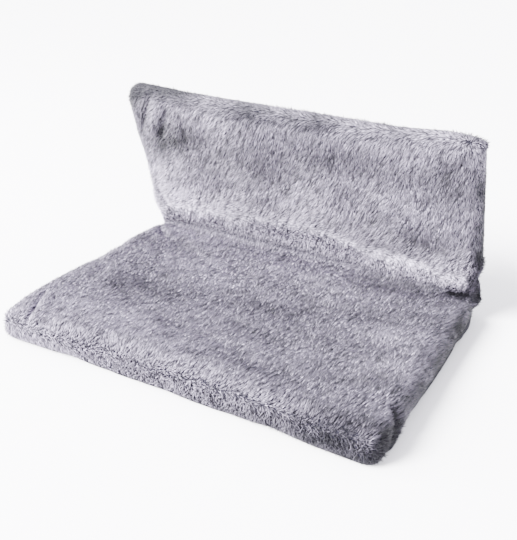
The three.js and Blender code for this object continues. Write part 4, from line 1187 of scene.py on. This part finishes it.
class CATBED_OT_pile(bpy.types.Operator):
    """Grows the short plush pile as fine tapered strands that gather in locks"""

    bl_idname = "catbed.pile"
    bl_label = "Plush pile"

    def execute(self, context):
        sizes = context.scene.catbed_sizes
        cover = bpy.data.objects["plush_cover"]
        mesh = cover.data
        mesh.calc_loop_triangles()
        triangles = np.empty(len(mesh.loop_triangles) * 3, dtype=np.int32)
        mesh.loop_triangles.foreach_get("vertices", triangles)
        triangles = triangles.reshape(-1, 3)
        points = coordinates(cover)
        normals = np.empty(len(points) * 3)
        mesh.vertices.foreach_get("normal", normals)
        normals = normals.reshape(-1, 3)
        rng = np.random.default_rng(5)
        roots, normal = scatter(points, triangles, normals, sizes.pile_spacing, rng)
        seat, back = in_seat_frame(roots), in_back_frame(roots)
        behind = back[:, 2] < REAR_SEAM + 0.5 * MM
        uneven = 1.2 * MM * np.abs(flow_noise(roots, 0.02, 24)[:, 0])
        under = (seat[:, 1] > 3 * MM) & (roots[:, 2] < seam_height(seat[:, 1]) + 0.3 * MM + uneven)
        bare = behind | under | (roots[:, 2] < 2.5 * MM)
        roots, normal = roots[~bare], normal[~bare]
        order = np.argsort(roots[:, 1] + roots[:, 2] * 0.5)
        roots, normal = roots[order], normal[order]
        portions = max(1, math.ceil(len(roots) / STRANDS_IN_A_PIECE))
        for i, (part, out) in enumerate(zip(np.array_split(roots, portions), np.array_split(normal, portions))):
            pile = grow_pile(f"plush_pile_{i + 1}", part, out, rng, sizes)
            dress(pile, "pile")
            across_fold(pile)
        across_fold(cover)
        return {"FINISHED"}


SLOT_OF = {part["node"]: part["material_slot"] for part in frame["record"]["subparts"]}
CAD_FINISHES = {
    "coated_steel": "coated", "zinc_steel": "zinc", "dark_plastic": "plastic", "soft_cap": "cap", "nylon": "nylon",
    "lining": "tape", "padding": "wadding", "plush": "backing",
}


class CATBED_OT_finishes(bpy.types.Operator):
    """Gives the carried-over solids their finishes"""

    bl_idname = "catbed.finishes"
    bl_label = "Finishes"

    def execute(self, context):
        FINISH.update(make_finishes(context.scene.catbed_sizes))
        for name, node in frame["nodes"].items():
            node.data.materials.clear()
            node.data.materials.append(FINISH[CAD_FINISHES[SLOT_OF[name]]])
        return {"FINISHED"}


# Each node with its body and the radius of its edges in millimetres
HARDWARE = (
    ("hook_arm_left", "back", 0.5), ("hook_arm_right", "back", 0.5),
    ("hook_claw_left", "claw_left", 0.6), ("hook_claw_right", "claw_right", 0.6),
    ("claw_cap_left", "claw_left", 0.7), ("claw_cap_right", "claw_right", 0.7),
    ("clamp_bolt_left", "claw_left", 0.3), ("clamp_bolt_right", "claw_right", 0.3),
    ("clamp_knob_left", "knob_left", 0.5), ("clamp_knob_right", "knob_right", 0.5),
    ("zip_slider", "zip_slider", 0.3), ("zip_puller", "zip_puller", 0.3),
)


class CATBED_OT_hardware(bpy.types.Operator):
    """Rounds the edges of the hooks, caps, bolts, knobs and the zip's slider and puller"""

    bl_idname = "catbed.hardware"
    bl_label = "Hooks, knobs and slider"

    def execute(self, context):
        for name, body, radius in HARDWARE:
            node = frame["nodes"][name]
            piece = new_object(f"{name}_rounded", [], [])
            piece.data = node.data.copy()
            piece.data.name = piece.name
            with edit_mode(piece):
                bpy.ops.mesh.remove_doubles(threshold=0.01 * MM)
                bpy.ops.mesh.dissolve_limited(angle_limit=math.radians(1))
                bpy.ops.mesh.normals_make_consistent(inside=False)
            bevel_edges(piece, radius * MM, 2, 35)
            smooth_by_angle(piece, 40)
            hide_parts(name)
            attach(piece, body)
        return {"FINISHED"}


def repeat(name, one, places):
    """One mesh that holds a copy of one at each of the given 4 x 4 places."""
    base = coordinates(one)
    faces = [tuple(polygon.vertices) for polygon in one.data.polygons]
    homogeneous = np.column_stack([base, np.ones(len(base))])
    vertices = np.vstack([(homogeneous @ np.array(place).T)[:, :3] for place in places])
    all_faces = [tuple(v + i * len(base) for v in face) for i in range(len(places)) for face in faces]
    made = new_object(name, vertices, all_faces)
    only(made)
    bpy.ops.object.shade_smooth()
    return made


def one_stitch():
    """A single stitch along x, pulled down at both ends."""
    stitch = primitive(bpy.ops.mesh.primitive_uv_sphere_add, segments=6, ring_count=5, radius=1)
    points = coordinates(stitch)[:, [2, 0, 1]] * np.array([1.5, 0.42, 0.36]) * MM
    set_coordinates(stitch, points)
    face_outwards(stitch)
    return stitch


def seam_places(path, tree, towards, pitch):
    """Where the stitches of a seam lie: the path is walked in even steps and each is set on the cloth."""
    path = np.array([tuple(point) for point in path])
    steps = np.linalg.norm(np.diff(path, axis=0), axis=1)
    along = np.concatenate([[0], np.cumsum(steps)])
    count = max(2, round(along[-1] / pitch))
    places = []
    for at in (np.arange(count) + 0.5) * along[-1] / count:
        here = Vector([np.interp(at, along, path[:, k]) for k in range(3)])
        ahead = Vector([np.interp(min(at + 0.5 * MM, along[-1]), along, path[:, k]) for k in range(3)])
        hit, normal, _, _ = tree.ray_cast(here - towards * 30 * MM, towards)
        if hit is None:
            continue
        normal = normal if normal.dot(towards) < 0 else -normal
        forward = ahead - here
        forward = (forward - normal * forward.dot(normal)).normalized()
        side = normal.cross(forward)
        turn = Matrix((forward, side, normal)).transposed().to_4x4()
        places.append(Matrix.Translation(hit + normal * 0.05 * MM) @ turn)
    return places


class CATBED_OT_seams(bpy.types.Operator):
    """Sews the rows of stitches on the linings, round the hook slits and beside the zip"""

    bl_idname = "catbed.seams"
    bl_label = "Stitches"

    def execute(self, context):
        pitch = context.scene.catbed_sizes.stitch_pitch
        stitch = one_stitch()
        rear_tree = surface_tree(bpy.data.objects["rear_lining"])
        under_tree = surface_tree(bpy.data.objects["seat_lining"])
        loop = rounded_plan(BACK, REAR_STITCHES_IN)
        path = [back_vector(x, y) for x, y in np.vstack([loop, loop[:1]])]
        places = seam_places(path, rear_tree, BACK_OUT, pitch)
        for side in (-1, 1):
            zip_ends = (-ZIP_HALF - 3 * MM, ZIP_HALF + 3 * MM)
            row = [back_vector(x, ZIP_Y + side * 6.5 * MM) for x in np.linspace(*zip_ends, 40)]
            places += seam_places(row, rear_tree, BACK_OUT, pitch)
            for away in (3 * MM, 5.5 * MM):
                ring = [(-1, -1), (1, -1), (1, 1), (-1, 1), (-1, -1)]
                reach_x, reach_y = SLIT_HALF_X + away, SLIT_HALF_Y + away
                path = [back_vector(side * HOOK_X + a * reach_x, SLIT_Y + b * reach_y) for a, b in ring]
                places += seam_places(path, rear_tree, BACK_OUT, pitch * 0.6)
        made = repeat("rear_stitches", stitch, places)
        dress(made, "thread")
        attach(made, "back")
        for name, side in (("slit_binding_left", -1), ("slit_binding_right", 1)):
            self.bind_slit(name, side * HOOK_X, SLIT_Y, rear_tree)
        loop = rounded_plan(SEAT, SEAT_STITCHES_IN)
        path = [Vector((x, FOLD_Y - y, 0)) for x, y in np.vstack([loop, loop[:1]]) if y > 10 * MM]
        made = repeat("seat_stitches", stitch, seam_places(path, under_tree, Vector((0, 0, 1)), pitch))
        keep_above_floor(made)
        dress(made, "thread")
        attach(made, "seat")
        bpy.data.objects.remove(stitch)
        return {"FINISHED"}

    def bind_slit(self, name, x, y, tree):
        """The turned and pressed edge round a hook's slit, set on the cloth beside the slit."""
        around = [back_vector(x + a * 15 * MM, y + b * 6 * MM) for a in (-1, 0, 1) for b in (-1, 1)]
        hits = [tree.ray_cast(point - BACK_OUT * 30 * MM, BACK_OUT)[0] for point in around]
        lift = max((hit - point).dot(-BACK_OUT) for point, hit in zip(around, hits) if hit)
        binding = primitive(bpy.ops.mesh.primitive_plane_add, size=2)
        binding.name = name
        binding.data.name = name
        binding.data.transform(Matrix.Diagonal((14.6 * MM, 5.6 * MM, 1, 1)))
        with edit_mode(binding):
            bpy.ops.mesh.inset(thickness=2.4 * MM, depth=0)
            bpy.ops.mesh.delete(type="FACE")
        apply_modifier(binding, "SOLIDIFY", "cloth", thickness=1 * MM, offset=0)
        bevel_edges(binding, 0.45 * MM, 3, 40)
        binding.data.transform(place_on_back(x, y, -BACK_THICK - lift))
        face_outwards(binding)
        smooth_by_angle(binding, 50)
        dress(binding, "tape")
        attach(binding, "back")


class CATBED_OT_zip(bpy.types.Operator):
    """Models the zip's coil as interlocking teeth on their tapes"""

    bl_idname = "catbed.zip"
    bl_label = "Zip teeth"

    def execute(self, context):
        low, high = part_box("zip_coil")
        half = (high[0] - low[0]) / 2
        tooth = primitive(bpy.ops.mesh.primitive_cube_add, size=2)
        with edit_mode(tooth):
            bpy.ops.mesh.bevel(offset=0.5, segments=1, affect="EDGES")
        set_coordinates(tooth, coordinates(tooth) * np.array([0.5, 1.3, 0.8]) * MM)
        places = []
        count = int(2 * half / (1.3 * MM))
        for i in range(count):
            x = -half + (i + 0.5) * 2 * half / count
            side = 1 if i % 2 else -1
            lean = Matrix.Rotation(side * 0.18, 4, "Z")
            places.append(place_on_back(x, ZIP_Y + side * 0.95 * MM, -BACK_THICK + 1.65 * MM) @ lean)
        teeth = repeat("zip_teeth", tooth, places)
        dress(teeth, "plastic")
        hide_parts("zip_coil")
        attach(teeth, "back")
        bpy.data.objects.remove(tooth)
        return {"FINISHED"}


class CATBED_PT_panel(bpy.types.Panel):
    bl_label = "Cat Bed"
    bl_idname = "CATBED_PT_panel"
    bl_space_type = "VIEW_3D"
    bl_region_type = "UI"
    bl_category = "Cat Bed"

    def draw(self, context):
        column = self.layout.column()
        sizes = context.scene.catbed_sizes
        for key in CatBedSizes.__annotations__:
            column.prop(sizes, key)
        for operator in OPERATORS:
            column.operator(operator.bl_idname)


OPERATORS = (
    CATBED_OT_studio, CATBED_OT_finishes, CATBED_OT_cover, CATBED_OT_linings, CATBED_OT_pile, CATBED_OT_hardware,
    CATBED_OT_zip, CATBED_OT_seams,
)


def register():
    for made in (CatBedSizes, *OPERATORS, CATBED_PT_panel):
        bpy.utils.register_class(made)
    bpy.types.Scene.catbed_sizes = bpy.props.PointerProperty(type=CatBedSizes)


def unregister():
    del bpy.types.Scene.catbed_sizes
    for made in (CATBED_PT_panel, *reversed(OPERATORS), CatBedSizes):
        bpy.utils.unregister_class(made)


def main():
    register()
    bpy.ops.catbed.studio()
    bpy.ops.catbed.finishes()
    bpy.ops.catbed.cover()
    bpy.ops.catbed.linings()
    bpy.ops.catbed.pile()
    bpy.ops.catbed.hardware()
    bpy.ops.catbed.zip()
    bpy.ops.catbed.seams()


if __name__ == "__main__":
    main()
